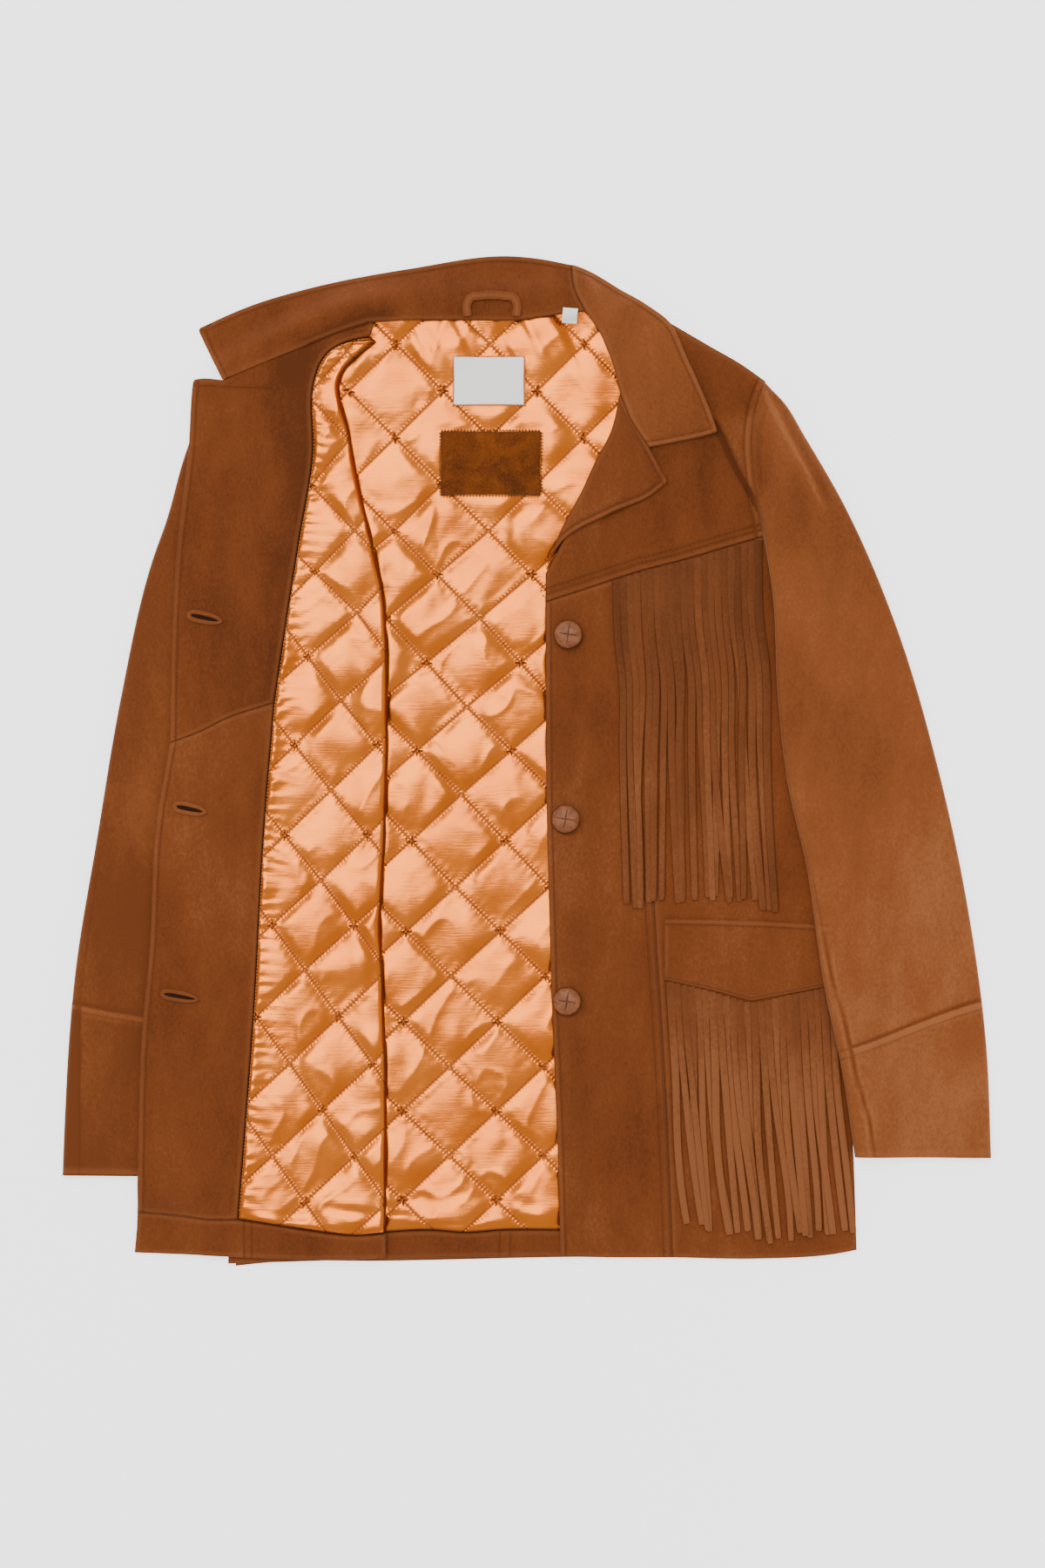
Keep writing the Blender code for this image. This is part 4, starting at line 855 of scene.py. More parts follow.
def quilted(column, count, wide, seed, puff, flats=(), rim=9.0):
    """Height of the quilting: puff, pleats at the sewn lines, and wrinkles that bend as they run."""
    def relief(spots, inwards):
        gap, across, up = sewn_distance(spots, column, count, wide)
        first, second = np.abs(slanted(up, across))
        body = puff * (1 - np.exp(-2.2 * first * second)) / 0.89
        bent = spots + np.column_stack([9 * noise(spots, 34, seed), 7 * noise(spots, 30, seed + 1)])
        swell = noise(bent, 30, seed + 7, 0.5, 1.3)
        broad = noise(bent, 15, seed + 2, 0.22, 1.9)
        ridge = (1 - np.abs(noise(bent, 24, seed + 3, -0.55, 1.6))) ** 4
        small = noise(bent, 8, seed + 4, 0.5, 1.6)
        inner = ease(np.abs(gap) / 8)
        turns = 2 * math.pi * DIAMOND_SIDE / PLEAT
        pleat_one = np.sin(turns * (up - across) + 3 * noise(spots, 22, seed + 5))
        pleat_two = np.sin(turns * (up + across) + 3 * noise(spots, 22, seed + 6))
        first, second = first * SEWN_SCALE, second * SEWN_SCALE
        pleats = 0.22 * (pleat_one * np.exp(-first / 4) * ease(first / 2)
                         + pleat_two * np.exp(-second / 4) * ease(second / 2))
        height = body + inner * (1.2 * swell + 0.85 * broad + 0.8 * ridge + 0.16 * small) + pleats
        for low, high in flats:
            away = np.linalg.norm(np.maximum(np.maximum(low - spots, spots - high), 0), axis=1)
            height = height * (0.7 + 0.3 * ease((away - 0.5) / 9))
        return height * ease(inwards / rim)
    return relief


def gathered(relief, seam, seed):
    """The satin's edge along the facing is eased in: short ruffles square to it, dying away from it."""
    def ruffled(spots, inwards):
        gap, turn = measured(spots, seam)[0], 2 * math.pi * spots[:, 1]
        wave = np.sin(turn / 9.5 + 5 * noise(spots, 26, seed))
        wave = wave + 0.6 * np.sin(turn / 5.1 + 5 * noise(spots, 19, seed + 1))
        ruffles = 0.75 * wave * np.exp(-gap / 9) * ease(gap / 2.5)
        beaded = 0.35 * np.sin(turn / 2.9) * np.exp(-gap / 1.5)
        return relief(spots, inwards) + (ruffles + beaded + 0.2) * ease(inwards / 1.5)
    return ruffled


print("diamonds", BACK_QUILT[2], "and", FRONT_QUILT[2], "mm wide")

# %% [markdown]
# On the back, the lining runs from the hem facing to the neck seam. It is cut a little narrower
# than what covers it on both sides. The label and the suede patch hold it flat.

# %% The back lining, its hem facing and the fold of the right side
SATIN_WALL = 2.2
SATIN_STEP = 1.85
SUEDE_WALL = 2.4
LABEL_BOX = (np.array([-31.0, 684.0]), np.array([26.0, 723.0]))
PATCH_BOX = (np.array([-41.0, 612.0]), np.array([39.0, 663.0]))
roll_marks = [(-93, 735), (-105, 726), (-117, 714), (-122, 702), (-121, 688), (-115, 664), (-108, 628),
              (-97, 578), (-86, 524), (-84, 477), (-84, 396), (-87, 310), (-89, 275), (-87, 216),
              (-85, 158), (-85, 20)]
lining_roll = curve(*roll_marks)
lining_edge = curve(*[(x - 6, y) for x, y in roll_marks])
satin_hem_back = curve((-91, 20), (-50, 22), (-20, 20), (8, 22), (63, 22))
back_lining_sides = (
    satin_hem_back,
    curve((-104, 762), (-62, 769), (-26, 771), (21, 771), (75, 773)),
    joined(lining_edge[::-1], curve(lining_edge[0], (-118, 738), (-110, 750), (-104, 762))),
    curve((63, 22), (60, 205), (54, 352), (52, 526), (58, 560), (80, 600), (102, 650), (112, 694),
          (100, 735), (88, 755), (75, 773)))


def suede_panel(name, sides, on, node, **more):
    """A plain panel of brown suede of the usual wall."""
    return lay(name, sides, on, SUEDE_WALL, SUEDE, "suede", [node], **more)


def satin_panel(name, sides, on, nodes, quilt, relief, **more):
    """A quilted panel. Its measures are the distance to the nearest sewn line, and the way along it."""
    made = lay(name, sides, on, SATIN_WALL, SATIN, "satin_lining", nodes, step=SATIN_STEP, relief=relief,
               **more)
    gap, across, up = sewn_distance(made.top.reshape(-1, 3)[:, :2], *quilt)
    first, second = np.abs(slanted(up, across))
    along = np.where(first < second, up - across, up + across) * DIAMOND_SIDE
    measures = made.piece.data.attributes
    measures.new("along", "FLOAT", "POINT")
    for measure, values in (("row", gap), ("along", along)):
        measures[measure].data.foreach_set("value", np.tile(values, 2).astype(np.float32))
    return made


def blousing(relief, seed):
    """At the hem the satin blouses over in flat waves. Under the collar it is pleated into the neck."""
    def full(spots, inwards):
        x, y = spots.T
        hem = np.exp(-np.maximum(y - 34, 0) / 14) * ease((y - 19) / 9)
        neck = ease((y - 700) / 36) * ease((inwards - 5) / 7)
        waves = noise(spots, 8, seed, math.pi / 2 - 0.12, 3.6)
        waves = waves + 0.5 * noise(spots, 15, seed + 1, math.pi / 2, 2)
        pleats = noise(spots + np.column_stack([0.5 * (y - 750), 0 * y]), 7, seed + 2, 0, 4.5)
        return relief(spots, inwards) + 1.6 * hem * (waves + 0.6) + 1.3 * neck * (pleats + 0.3)
    return full


on_back = settled(heap(back))
back_lining = satin_panel("back_lining_satin", back_lining_sides, on_back, ["back_lining"], BACK_QUILT,
                          blousing(quilted(*BACK_QUILT, 21, 2.4, (LABEL_BOX, PATCH_BOX)), 25))
back_facing = lay(
    "back_hem_suede",
    (curve((-91, -2), (-31, 0), (63, 1)), satin_hem_back - np.array([0, 0.4]),
     curve((-91, -2), (-91, 19.6)), curve((63, 1), (63, 21.6))),
    on_back, SATIN_WALL, SUEDE, "suede", ["back_hem_facing"], relief=ripple(30, 0.5, 31),
    rows=[curve((6, -2), (6.5, 22)), curve((14.5, -2), (15, 22))])
side_inner = curve((-141, 707), *[(x - 8, y) for x, y in roll_marks[6:-1]], (-93, -1))
side_fold = curve((-212, -5), (-208, 198), (-202, 289), (-196, 380), (-190, 478), (-181, 552))
right_side = suede_panel(
    "right_side_suede",
    (curve((-212, -5), (-150, -3), (-93, -1)),
     curve((-215, 703), (-178, 727), (-142, 747), (-122, 757)),
     joined(side_fold, curve((-181, 552), (-194, 580), (-205, 618), (-209, 660), (-215, 703))),
     joined(side_inner[::-1], curve(side_inner[0], (-122, 757)))),
    on_back, "right_side_fold", step=5.0, fold=side_fold, fold_on=TABLE)

# %% [markdown]
# The right front is turned over, so its suede lies face down on its own sleeve. On it lie the
# two pieces of the facing, which meet in a slanted seam, then the front lining and the turned
# hem. The lining's free edge is the fold where the front bends over, so it curves down to the
# back lining there.

# %% The opened right front
lowest = (back, back_lining, back_facing)
on_right = settled(heap(*lowest, right_sleeve, right_side))
below_roll = settled(heap(*lowest), 1.0, 4.0)
front_edge_up = curve((-258, 413), (-256, 506), (-253, 559), (-243, 651), (-240.3, 698), (-239.9, 702),
                      (-238.6, 704.4))
front_edge_low = curve((-284, 37), (-281, 170), (-274, 252), (-269, 347), (-258, 413))
lining_tip = curve((-139, 716), (-132, 726), (-121, 733), (-109, 737), (-98, 739))
facing_line_neck = joined(lining_tip, curve((-98, 739), (-95, 748), (-97, 760)))
facing_line_up = curve((-175, 445), (-169, 486), (-156, 570), (-144, 645), (-143, 703), (-139, 716))
facing_line_low = curve((-204, 31), (-197, 121), (-192, 189), (-183, 347), (-175, 445))
facing_seam = curve((-258, 413), (-234, 422), (-212, 433), (-188, 441), (-175, 445))
facing_hem = curve((-284, 37), (-253, 34), (-228, 31), (-204, 31))
gorge_under = curve((-216, 704), (-186, 724), (-146, 744), (-116, 757), (-97, 760))
gorge_right = curve((-216, 704), (-188, 716), (-148, 732), (-117, 744), (-99, 750))
shell_inner = joined(
    curve((-93, 1), (-91, 158), (-93, 216), (-95, 275), (-93, 310), (-90, 396), (-90, 477), (-92, 524),
          (-103, 578), (-114, 628), (-121, 662), (-139, 707)),
    curve((-139, 707), (-117, 743)))
right_shell = suede_panel(
    "right_front_suede",
    (curve((-286, 5), (-210, 2), (-158, 0), (-93, 1)),
     joined(curve((-237, 701), (-217, 701)), curve((-217, 701), (-188, 714), (-148, 730), (-117, 743))),
     curve((-286, 5), (-280, 170), (-273, 252), (-268, 347), (-257, 413), (-255, 506), (-252, 559),
           (-242, 651), (-237, 701)),
     shell_inner),
    on_right, "right_front", step=5.0)
on_shell = settled(heap(*lowest, right_sleeve, right_side, right_shell), 3.0, 7.0)
EDGE_ROW = 4.6
facing_crease = curve((-162.4, 711.2), (-152.6, 717.5), (-148.4, 734.3))


def facing_shade(spots):
    """Painted shade on the facing: in a trough towards the lining, and in the crease below the collar;
    the whole facing is also a little darker.
    """
    gap = measured(spots, facing_crease)[0]
    return (-0.45 - 1.0 * np.exp(-measured(spots, facing_line_up)[0] / 22)
            - 1.5 * bell(gap, 2.5) - 1.0 * bell(gap, 12))


facing_upper = suede_panel(
    "facing_upper_suede",
    (facing_seam, joined(curve((-238.6, 704.4), (-234, 705.2), (-216, 704)), gorge_under), front_edge_up,
     joined(facing_line_up, facing_line_neck)),
    on_shell, "right_facing_upper", relief=ripple(55, 0.9, 41),
    rows=[beside(front_edge_up[:-4], -EDGE_ROW), curve((-236, 699), (-218, 698.4))], tone=facing_shade)
facing_lower = suede_panel(
    "facing_lower_suede", (facing_hem, facing_seam, front_edge_low, facing_line_low),
    on_shell, "right_facing_lower", relief=ripple(60, 0.8, 43),
    rows=[beside(front_edge_low, -EDGE_ROW)])
facing_line = joined(facing_line_low, facing_line_up, lining_tip)
satin_hem_right = curve((-204, 31), (-176, 27), (-139, 21), (-113, 18), (-85, 20))
front_lining = satin_panel(
    "front_lining_satin",
    (satin_hem_right, curve((-98, 739), (-93, 735), step=1.0), facing_line, lining_roll[::-1]),
    on_shell, ["right_front_lining"], FRONT_QUILT,
    gathered(blousing(quilted(*FRONT_QUILT, 61, 2.3, rim=4.0), 65), facing_line, 71),
    fold=lining_roll, fold_on=below_roll, reach=3.5)
front_hem = suede_panel(
    "front_hem_suede",
    (curve((-287, 4), (-210, 1), (-158, -1), (-85, 0)),
     joined(facing_hem, satin_hem_right) - np.array([0, 0.4]),
     curve((-287, 4), (-284, 37)), curve((-85, 0), (-85, 19.6))),
    on_shell, "right_front_hem", relief=ripple(34, 0.5, 47),
    rows=[curve((-198.5, -1), (-198.5, 32)), curve((-192.5, -1), (-192.5, 32))])
sew("brown", beside(front_edge_up, -EDGE_ROW), facing_upper.height)
sew("brown", beside(front_edge_low, -EDGE_ROW), facing_lower.height)
for x in (-198.5, -192.5):
    sew("brown", curve((x, 2), (x, 28)), front_hem.height)
for x in (6.2, 14.7):
    sew("brown", curve((x, 2), (x, 19)), back_facing.height)

# %% [markdown]
# The left front is closed. A yoke covers the shoulder, two long panels hang from it, and the
# topstitching runs in pairs beside each seam. The yoke rides up over the head of the sleeve in
# a sharp fold, which is a soft step in its height along one line.

# %% The left front and its yoke
YOKE_WALL = 3.0
yoke_front = curve((43, 526), (64, 533), (82, 539), (119, 551))
yoke_side = curve((119, 551), (154, 560), (188, 570), (219, 579))
yoke_seam = joined(yoke_front, yoke_side)
armhole_left = curve((217, 582), (210, 616), (208, 636), (207, 655), (209, 674), (213, 690), (218, 703))
front_edge_left = curve((55, 1), (52, 107), (48, 205), (46, 275), (44, 352), (43, 526))
panel_seam = curve((145, 0), (139, 140), (130, 286), (125, 415), (119, 551))
shoulder_fold = curve((178, 671), (184, 660), (192, 642), (201, 624), (209, 611), (214, 601))


def shoulder(spots, inwards):
    """The step over the sleeve head, plus the low waves of the yoke."""
    beyond = past(spots, shoulder_fold)
    head = 5.0 * ease(beyond / 5) - 0.7 * bell(beyond + 9, 9)
    return head * ease((690 - spots[:, 1]) / 40) + ripple(48, 0.9, 51)(spots, inwards)


def shoulder_shade(spots):
    """Painted shade in the fold over the sleeve head with painted light on the raised side past it, and a
    painted highlight on the armhole's welt.
    """
    beyond = past(spots, shoulder_fold)
    start = ease((684 - spots[:, 1]) / 16)
    welt = ease((5 - measured(spots, armhole_left)[0]) / 1.5)
    return start * (1.2 * ease(beyond / 4) - 8.0 * bell(beyond + 0.4, 1.3)) + 0.9 * welt


on_left = settled(heap(*lowest), 3.0, 8.0)
tucked = joined(curve((43, 526), (43, 549)), curve((43, 549), (48, 558), (66, 592), (78, 613), (90, 638),
                                                   (102, 661), (110, 694), (102, 722), (92, 748)))
shoulder_edge = curve((121, 763), (142, 751), (178, 730), (199, 718), (219, 704))
yoke_rows = [beside(yoke_seam, 5.6), beside(yoke_seam, 9.8)]
yoke = lay(
    "yoke_suede",
    (yoke_seam, joined(curve((92, 748), (121, 763)), shoulder_edge), tucked,
     joined(curve((219, 579), (219, 582), step=1.0), armhole_left + np.array([2, 0]),
            curve((220, 703), (219, 704), step=1.0))),
    on_left, YOKE_WALL, SUEDE_DEEP, "suede", ["left_yoke"], step=2.6, relief=shoulder,
    fold=shoulder_edge, fold_on=TABLE, rows=yoke_rows + [beside(armhole_left, 4.6)], tone=shoulder_shade)
front_rows = [beside(front_edge_left, -4.4), beside(panel_seam, 1.4), beside(panel_seam, 6.8)]
left_front = suede_panel(
    "left_front_suede",
    (curve((55, 1), (94, 0), (145, 0)), yoke_front, front_edge_left, panel_seam),
    on_left, "left_front", relief=ripple(52, 0.8, 53), rows=front_rows)
side_edge = curve((293, 6), (290, 91), (280, 219), (266, 380), (252, 534))
left_side = suede_panel(
    "left_side_suede",
    (curve((145, 0), (213, -1), (277, 3), (293, 6)), yoke_side, panel_seam,
     joined(side_edge, curve((252, 534), (219, 579)))),
    on_left, "left_side", relief=ripple(58, 0.8, 55), fold=side_edge,
    fold_on=TABLE)
for row in yoke_rows:
    sew("brown", row, yoke.height)
for row in front_rows:
    sew("brown", row[2:-2], left_front.height)

# %% [markdown]
# The collar is one strip. On the wearer's right it lies open and flat, and from the crease at
# the back of the neck it folds down over the left shoulder as a thick leaf. The lapel is the
# top of the front edge turned back along the roll line, and both soften the layers below them.

# %% The collar and the lapel
COLLAR_WALL = 3.2
collar_top = curve((-234.6, 746.4), (-230, 748.6), (-192, 765), (-148, 778), (-66, 794), (18, 804),
                   (38, 802), (64, 797))
neck_seam = curve((-99, 750), (-62, 752), (-26, 752), (21, 752), (57, 757), (75, 759))
collar_end = curve((-216, 704), (-234, 740.5), (-235.6, 744.2), (-234.6, 746.4))
collar_foot = joined(gorge_right, neck_seam)
crease = curve((75, 759), (66, 778), (64, 797))


def collar_stand(spots, inwards):
    """The stand of the collar swells along its middle and dips at the neck seam."""
    gap = measured(spots, collar_foot)[0]
    swell = 1.5 * bell(gap - 22, 12) - 0.8 * bell(gap - 9, 5)
    level = 2.1 * (1 - ease(gap / 18)) * ease((-118 - spots[:, 0]) / 50)
    return swell * ease(inwards / 8) + ripple(44, 0.9, 57)(spots, inwards) - level


under_collar = settled(heap(*lowest, right_shell, facing_upper, front_lining, yoke, right_sleeve))
collar_rows = [beside(collar_top, -4.4), beside(collar_end, -4.4)]
collar_seam = joined(gorge_right[gorge_right[:, 0] > -128], neck_seam)
at_collar_seam = settled(heap(back, back_lining, right_shell, facing_upper, front_lining), 1.0, 4.0)
collar_crease = curve((-148.4, 734.3), (-121.8, 745.5), (-87.5, 757.4))


def collar_shade(spots):
    """Painted shade in the fold where the collar's roll is pressed down towards the neck."""
    gap = measured(spots, collar_crease)[0]
    return -1.5 * bell(gap, 2.2) - 1.3 * bell(gap, 11)


collar_open = lay(
    "collar_open_suede",
    (collar_foot, collar_top, collar_end, crease),
    under_collar, COLLAR_WALL, SUEDE, "suede", ["collar_open"], step=2.6, relief=collar_stand,
    fold=collar_seam, fold_on=at_collar_seam, rows=collar_rows, tone=collar_shade,
    flush=gorge_right[gorge_right[:, 0] < -150])
sew("brown", collar_rows[0][4:], collar_open.height)
sew("brown", collar_rows[1][2:-4], collar_open.height)

roll_line = curve((43, 553), (59, 591), (71, 613), (83, 639), (95, 662), (103, 694))
gorge_left = curve((103, 694), (111, 673), (126, 650))
lapel_outer = curve((140.6, 623.4), (138.6, 627.2), (126, 650))
lapel_lower = curve((43, 553), (55, 573), (95, 597), (130, 613), (137.6, 619.2), (140.2, 621.2),
                    (140.6, 623.4))
leaf_outer = curve((180.6, 663.4), (179.6, 666.5), (156, 723), (142, 751), (125, 764), (102, 778),
                   (80, 791), (64, 797))
leaf_end = curve((126, 650), (176.5, 660.8), (179.6, 661.7), (180.6, 663.4))
leaf_roll = curve((103, 694), (95, 722), (83, 748), (75, 759))
under_leaf = settled(heap(back, back_lining, yoke, left_front, collar_open), 4.0, 8.0)
beside_back = settled(heap(back, back_lining), 1.0, 4.0)
lapel_rows = [beside(lapel_lower, 4.2), beside(lapel_outer, 4.2)]
lapel = suede_panel(
    "lapel_suede", (lapel_lower, gorge_left, roll_line, lapel_outer),
    under_leaf, "left_lapel", step=2.2, relief=ripple(40, 0.8, 59),
    fold=roll_line, fold_on=beside_back, rows=lapel_rows)
leaf_rows = [beside(leaf_outer, 4.4), beside(leaf_end, 4.2)]
leaf = lay(
    "collar_leaf_suede", (leaf_end, crease, joined(gorge_left[::-1], leaf_roll), leaf_outer),
    under_leaf, COLLAR_WALL, SUEDE_LIGHT, "suede_light", ["collar_leaf"], step=2.4,
    relief=ripple(46, 1.0, 63), fold=joined(leaf_roll, crease), fold_on=beside_back, rows=leaf_rows)
for cloth, row in ((lapel, lapel_rows[0][6:-3]), (lapel, lapel_rows[1][2:-1]),
                   (leaf, leaf_rows[0][3:-3]), (leaf, leaf_rows[1][2:-3])):
    sew("brown", row, cloth.height)

# %% [markdown]
# A fringe is a strip of suede cut into narrow thongs almost up to the seam. They hang as one
# sheet at the root, then part, cross and twist. Each thong here is a ribbon with a six-sided
# section. All of them are worked out at once, as an array of thongs by steps down by corners:
# the middle line leans between the fringe's two sides with a wander of its own, the section
# tilts slowly, and where two thongs cross one rides over the other.

# %% The chest and pocket fringes
THONG_WALL = 0.9
THONG_STEPS = 64
THONG_SECTION = np.array([(-0.5, 0), (-0.41, 0.5), (0.41, 0.5), (0.5, 0), (0.41, -0.5), (-0.41, -0.5)])


def fringe(name, root, left, right, tips, count, on, node, seed, toning):
    """Thongs from the root to the row of tips: middle lines, tilted sections, and height in layers."""
    random = np.random.default_rng(seed)
    down = np.linspace(0, 1, THONG_STEPS)[None]
    order = (np.arange(count) + 0.5) / count
    share = order[:, None]
    straight = at_shares(left, down[0])[None] + share[..., None] * (
        at_shares(right, down[0]) - at_shares(left, down[0]))[None]
    chord = left[0] + share[..., None] * (right[0] - left[0])
    middle = straight + (at_shares(root, order)[:, None] - chord) * (1 - down[..., None]) ** 2
    phase, swing = random.uniform(0, 6.28, (count, 3)), random.normal(0, 1, (count, 3))
    wander = (3.4 * swing[:, :1] * np.sin(2.2 * down + phase[:, :1])
              + 1.9 * swing[:, 1:2] * np.sin(5.5 * down + phase[:, 1:2]))
    middle[..., 0] += (wander - wander[:, :1]) * down ** 1.2
    goal = np.interp(middle[:, -1, 0], tips[:, 0], tips[:, 1]) + random.normal(0, 1.6, count)
    middle[..., 1] += (goal - middle[:, -1, 1])[:, None] * down ** 1.5
    pitch = np.linalg.norm(root[-1] - root[0]) / count
    wide = (random.uniform(0.98, 1.22, count)[:, None] * pitch * (1.12 - 0.22 * down)
            * np.where(down > 0.995, 0.86, 1))
    loose = ease((down - 0.05) / 0.16)
    layer = random.permutation(np.arange(count) % 3)[:, None] + 0.6 * np.sin(4 * down + phase[:, 2:])
    lift = loose * np.clip(0.42 + 0.42 * (layer - 1), 0, 1.4)
    tilt = loose * 0.22 * np.sin(3.4 * down + phase[:, :1]) * random.uniform(0.2, 1, (count, 1))
    across, rise = THONG_SECTION.T
    off = across * wide[..., None]
    plan = middle[:, :, None] + off[..., None] * left_of(heading(middle))[:, :, None]
    base = look_up(on, middle.reshape(-1, 2)).reshape(count, THONG_STEPS)
    raised = off * np.sin(tilt)[..., None]
    height = ((base + lift + 0.6 * THONG_WALL)[..., None] + rise * THONG_WALL
              + np.abs(raised) * 0.5 + raised * 0.5)
    places = np.concatenate([plan, height[..., None]], axis=-1)
    number = np.arange(height.size).reshape(height.shape)
    first, last = number[:, 0], number[:, -1]
    caps = np.concatenate([first[:, [0, 1, 2, 3]], first[:, [0, 3, 4, 5]],
                           last[:, [3, 2, 1, 0]], last[:, [5, 4, 3, 0]]])
    # The sides of each thong are its cut edges; their dark tone is also painted shade for the narrow gaps
    # between the thongs.
    cut = np.where(np.abs(across) > 0.45, -3.2, 0)
    shade = random.normal(0, 0.25, count)[:, None] + toning[0] + (toning[1] - toning[0]) * ease(down * 1.8)
    edge = np.resize((0.5 - np.abs(across)) * 9.0, height.size)
    piece = into_mesh(name, places.reshape(-1, 3), [np.concatenate([tube_faces(number), caps])],
                      SUEDE_FRINGE, "suede", [node], edge=edge, row=np.full(height.size, 30.0),
                      tone=(shade[..., None] + cut).ravel())
    return places[:, :, [0, 1, 2, 3]]


CHEST_TIPS = np.array([(103, 284), (110, 282), (118, 279), (129, 286), (154, 286), (182, 287),
                       (205, 288), (219, 281), (226, 278), (236, 280)])
POCKET_TIPS = np.array([(158, 29), (167, 27), (174, 24), (183, 22), (191, 18), (202, 21), (209, 17),
                        (220, 13), (234, 15), (251, 17), (267, 18), (279, 21), (290, 22)])
pile_left = (back, back_lining, yoke, left_front, left_side, lapel, leaf)
under_fringe = settled(heap(*pile_left), 2.0, 4.0)
chest_fringe = fringe(
    "chest_fringe_suede", curve((97, 543), (119, 549.5), (154, 558.5), (188, 568.5), (216, 576.5)),
    curve((97, 541), (99, 491), (102, 463), (102, 408), (104, 284)),
    curve((215, 575), (217, 509), (222, 474), (224, 408), (231, 280)),
    CHEST_TIPS, 22, under_fringe, "left_yoke_fringe", 5, (-0.7, 0.1))

# %% [markdown]
# The hip pocket's flap has a straight top and a shallow point below. Its own fringe starts under
# the point and sweeps towards the side seam.

# %% The pocket flap and its fringe
flap_top = curve((138, 272), (192, 271), (258, 268), (278, 267))
flap_low = joined(curve((138, 223), (175, 215), (208, 206)), curve((208, 206), (239, 212), (278, 219)))
under_flap = settled(heap(*pile_left, chest_fringe), 2.0, 4.0)
flap_rows = [beside(flap_top, -4.6), beside(flap_low, 2.1)]
flap = suede_panel(
    "pocket_flap_suede",
    (flap_low, flap_top, curve((138, 223), (138, 272)), curve((278, 219), (278, 267))),
    under_flap, "pocket_flap", step=2.4, relief=ripple(36, 0.6, 65),
    rows=flap_rows)
pocket_fringe = fringe(
    "pocket_fringe_suede", curve((140, 222), (175, 214), (208, 205), (239, 211), (275, 218)),
    curve((140, 221), (143, 156), (146, 107), (158, 30)),
    curve((274, 218), (278, 142), (283, 79), (287, 21)),
    POCKET_TIPS, 24, under_flap, "pocket_fringe", 8, (-0.2, 1.7))
for row in flap_rows:
    sew("brown", row[2:-2], flap.height)

# %% [markdown]
# The left sleeve goes on last, over the side of the front and the ends of the fringes. It has a
# soft ridge where the sleeve head turns.

# %% The left sleeve
sleeve_ridge = curve((216, 700), (225, 683), (237, 658), (253, 629), (266, 600))
left_seam_line = curve((265, 262), (271, 230), (279, 201), (286.7, 171), (293, 142), (302, 111),
                       (307, 82))


def past_seam(spots):
    """From 0 on the strip between the sleeve's edge and its seam to 1 on the rest of the sleeve."""
    return ease(past(spots, left_seam_line) / 2.5 + 0.2)


def left_sleeve_shape(spots, inner, down):
    """The ridge of the sleeve head, and waves whose welt stops at the sleeve's own seam."""
    ridge = 3.0 * ease(1 - measured(spots, sleeve_ridge)[0] / 16)
    waves = sleeve_waves(81, 1.1)
    level = waves(spots, inner, 0.9 + 0 * down)
    return ridge + level + (waves(spots, inner, down) - level) * past_seam(spots)


carries_sleeve = heap(back, yoke, left_front, left_side, chest_fringe, flap, pocket_fringe)
under_sleeve = settled(carries_sleeve, 14.0, 20.0)
below_sleeve = settled(carries_sleeve, 2.0, 3.0)
left_cuff_line = curve((284, 168), (304.5, 175), (392, 206.5), (398, 208))
left_cuff_row = left_cuff_line - np.array([0, 7])


def left_sleeve_painted_shading(spots):
    """Painted shading: shade in the cuff's seam with a highlight on the welt below it, shade along the
    sleeve's own seam with a highlight beside it, a highlight on the crest of the sleeve head with shade
    beyond it, and shade along the armhole.
    """
    gap, y = measured(spots, left_seam_line)[0], spots[:, 1]
    band = 0.75 * seam_shade(left_cuff_line)(spots) * past_seam(spots)
    crest = past(spots, sleeve_ridge)
    head = 1.6 * bell(crest, 2.2) - 1.3 * bell(crest - 6, 4.5)
    return (band - 1.8 * bell(gap, 1.2) + 0.7 * bell(gap - 3, 1.6)
            + head * ease((704 - y) / 12) * ease((y - 588) / 30)
            - 2.6 * np.exp(-measured(spots, armhole_left)[0] / 0.9))


sleeve(
    "left_sleeve",
    curve((217, 582), (220, 566), (225, 532), (229, 451), (237, 381), (252, 314), (265, 224), (282, 142),
          (291, 80)),
    curve((218, 704), (234, 688), (251, 660), (283, 604), (325, 506), (358, 394), (382, 282), (397, 170),
          (401, 78)),
    armhole_left, (167, 206), (81, 80), under_sleeve, below_sleeve,
    ["left_sleeve_top", "left_sleeve_under", "left_cuff_top", "left_cuff_under"],
    [left_cuff_line, left_cuff_row, left_seam_line], left_sleeve_shape, 82, left_sleeve_painted_shading)

# %% [markdown]
# The buttons are plaited from leather: four strips are tucked one under the next, so the dome
# shows a slightly turned cross. A dome is a surface of revolution, a function of how far out and
# which way round a place is. The plait is a saw-tooth round the dome that sinks at each join.

# %% Leather buttons
BUTTON_RADIUS = 11.5
BUTTON_RISE = 6.6


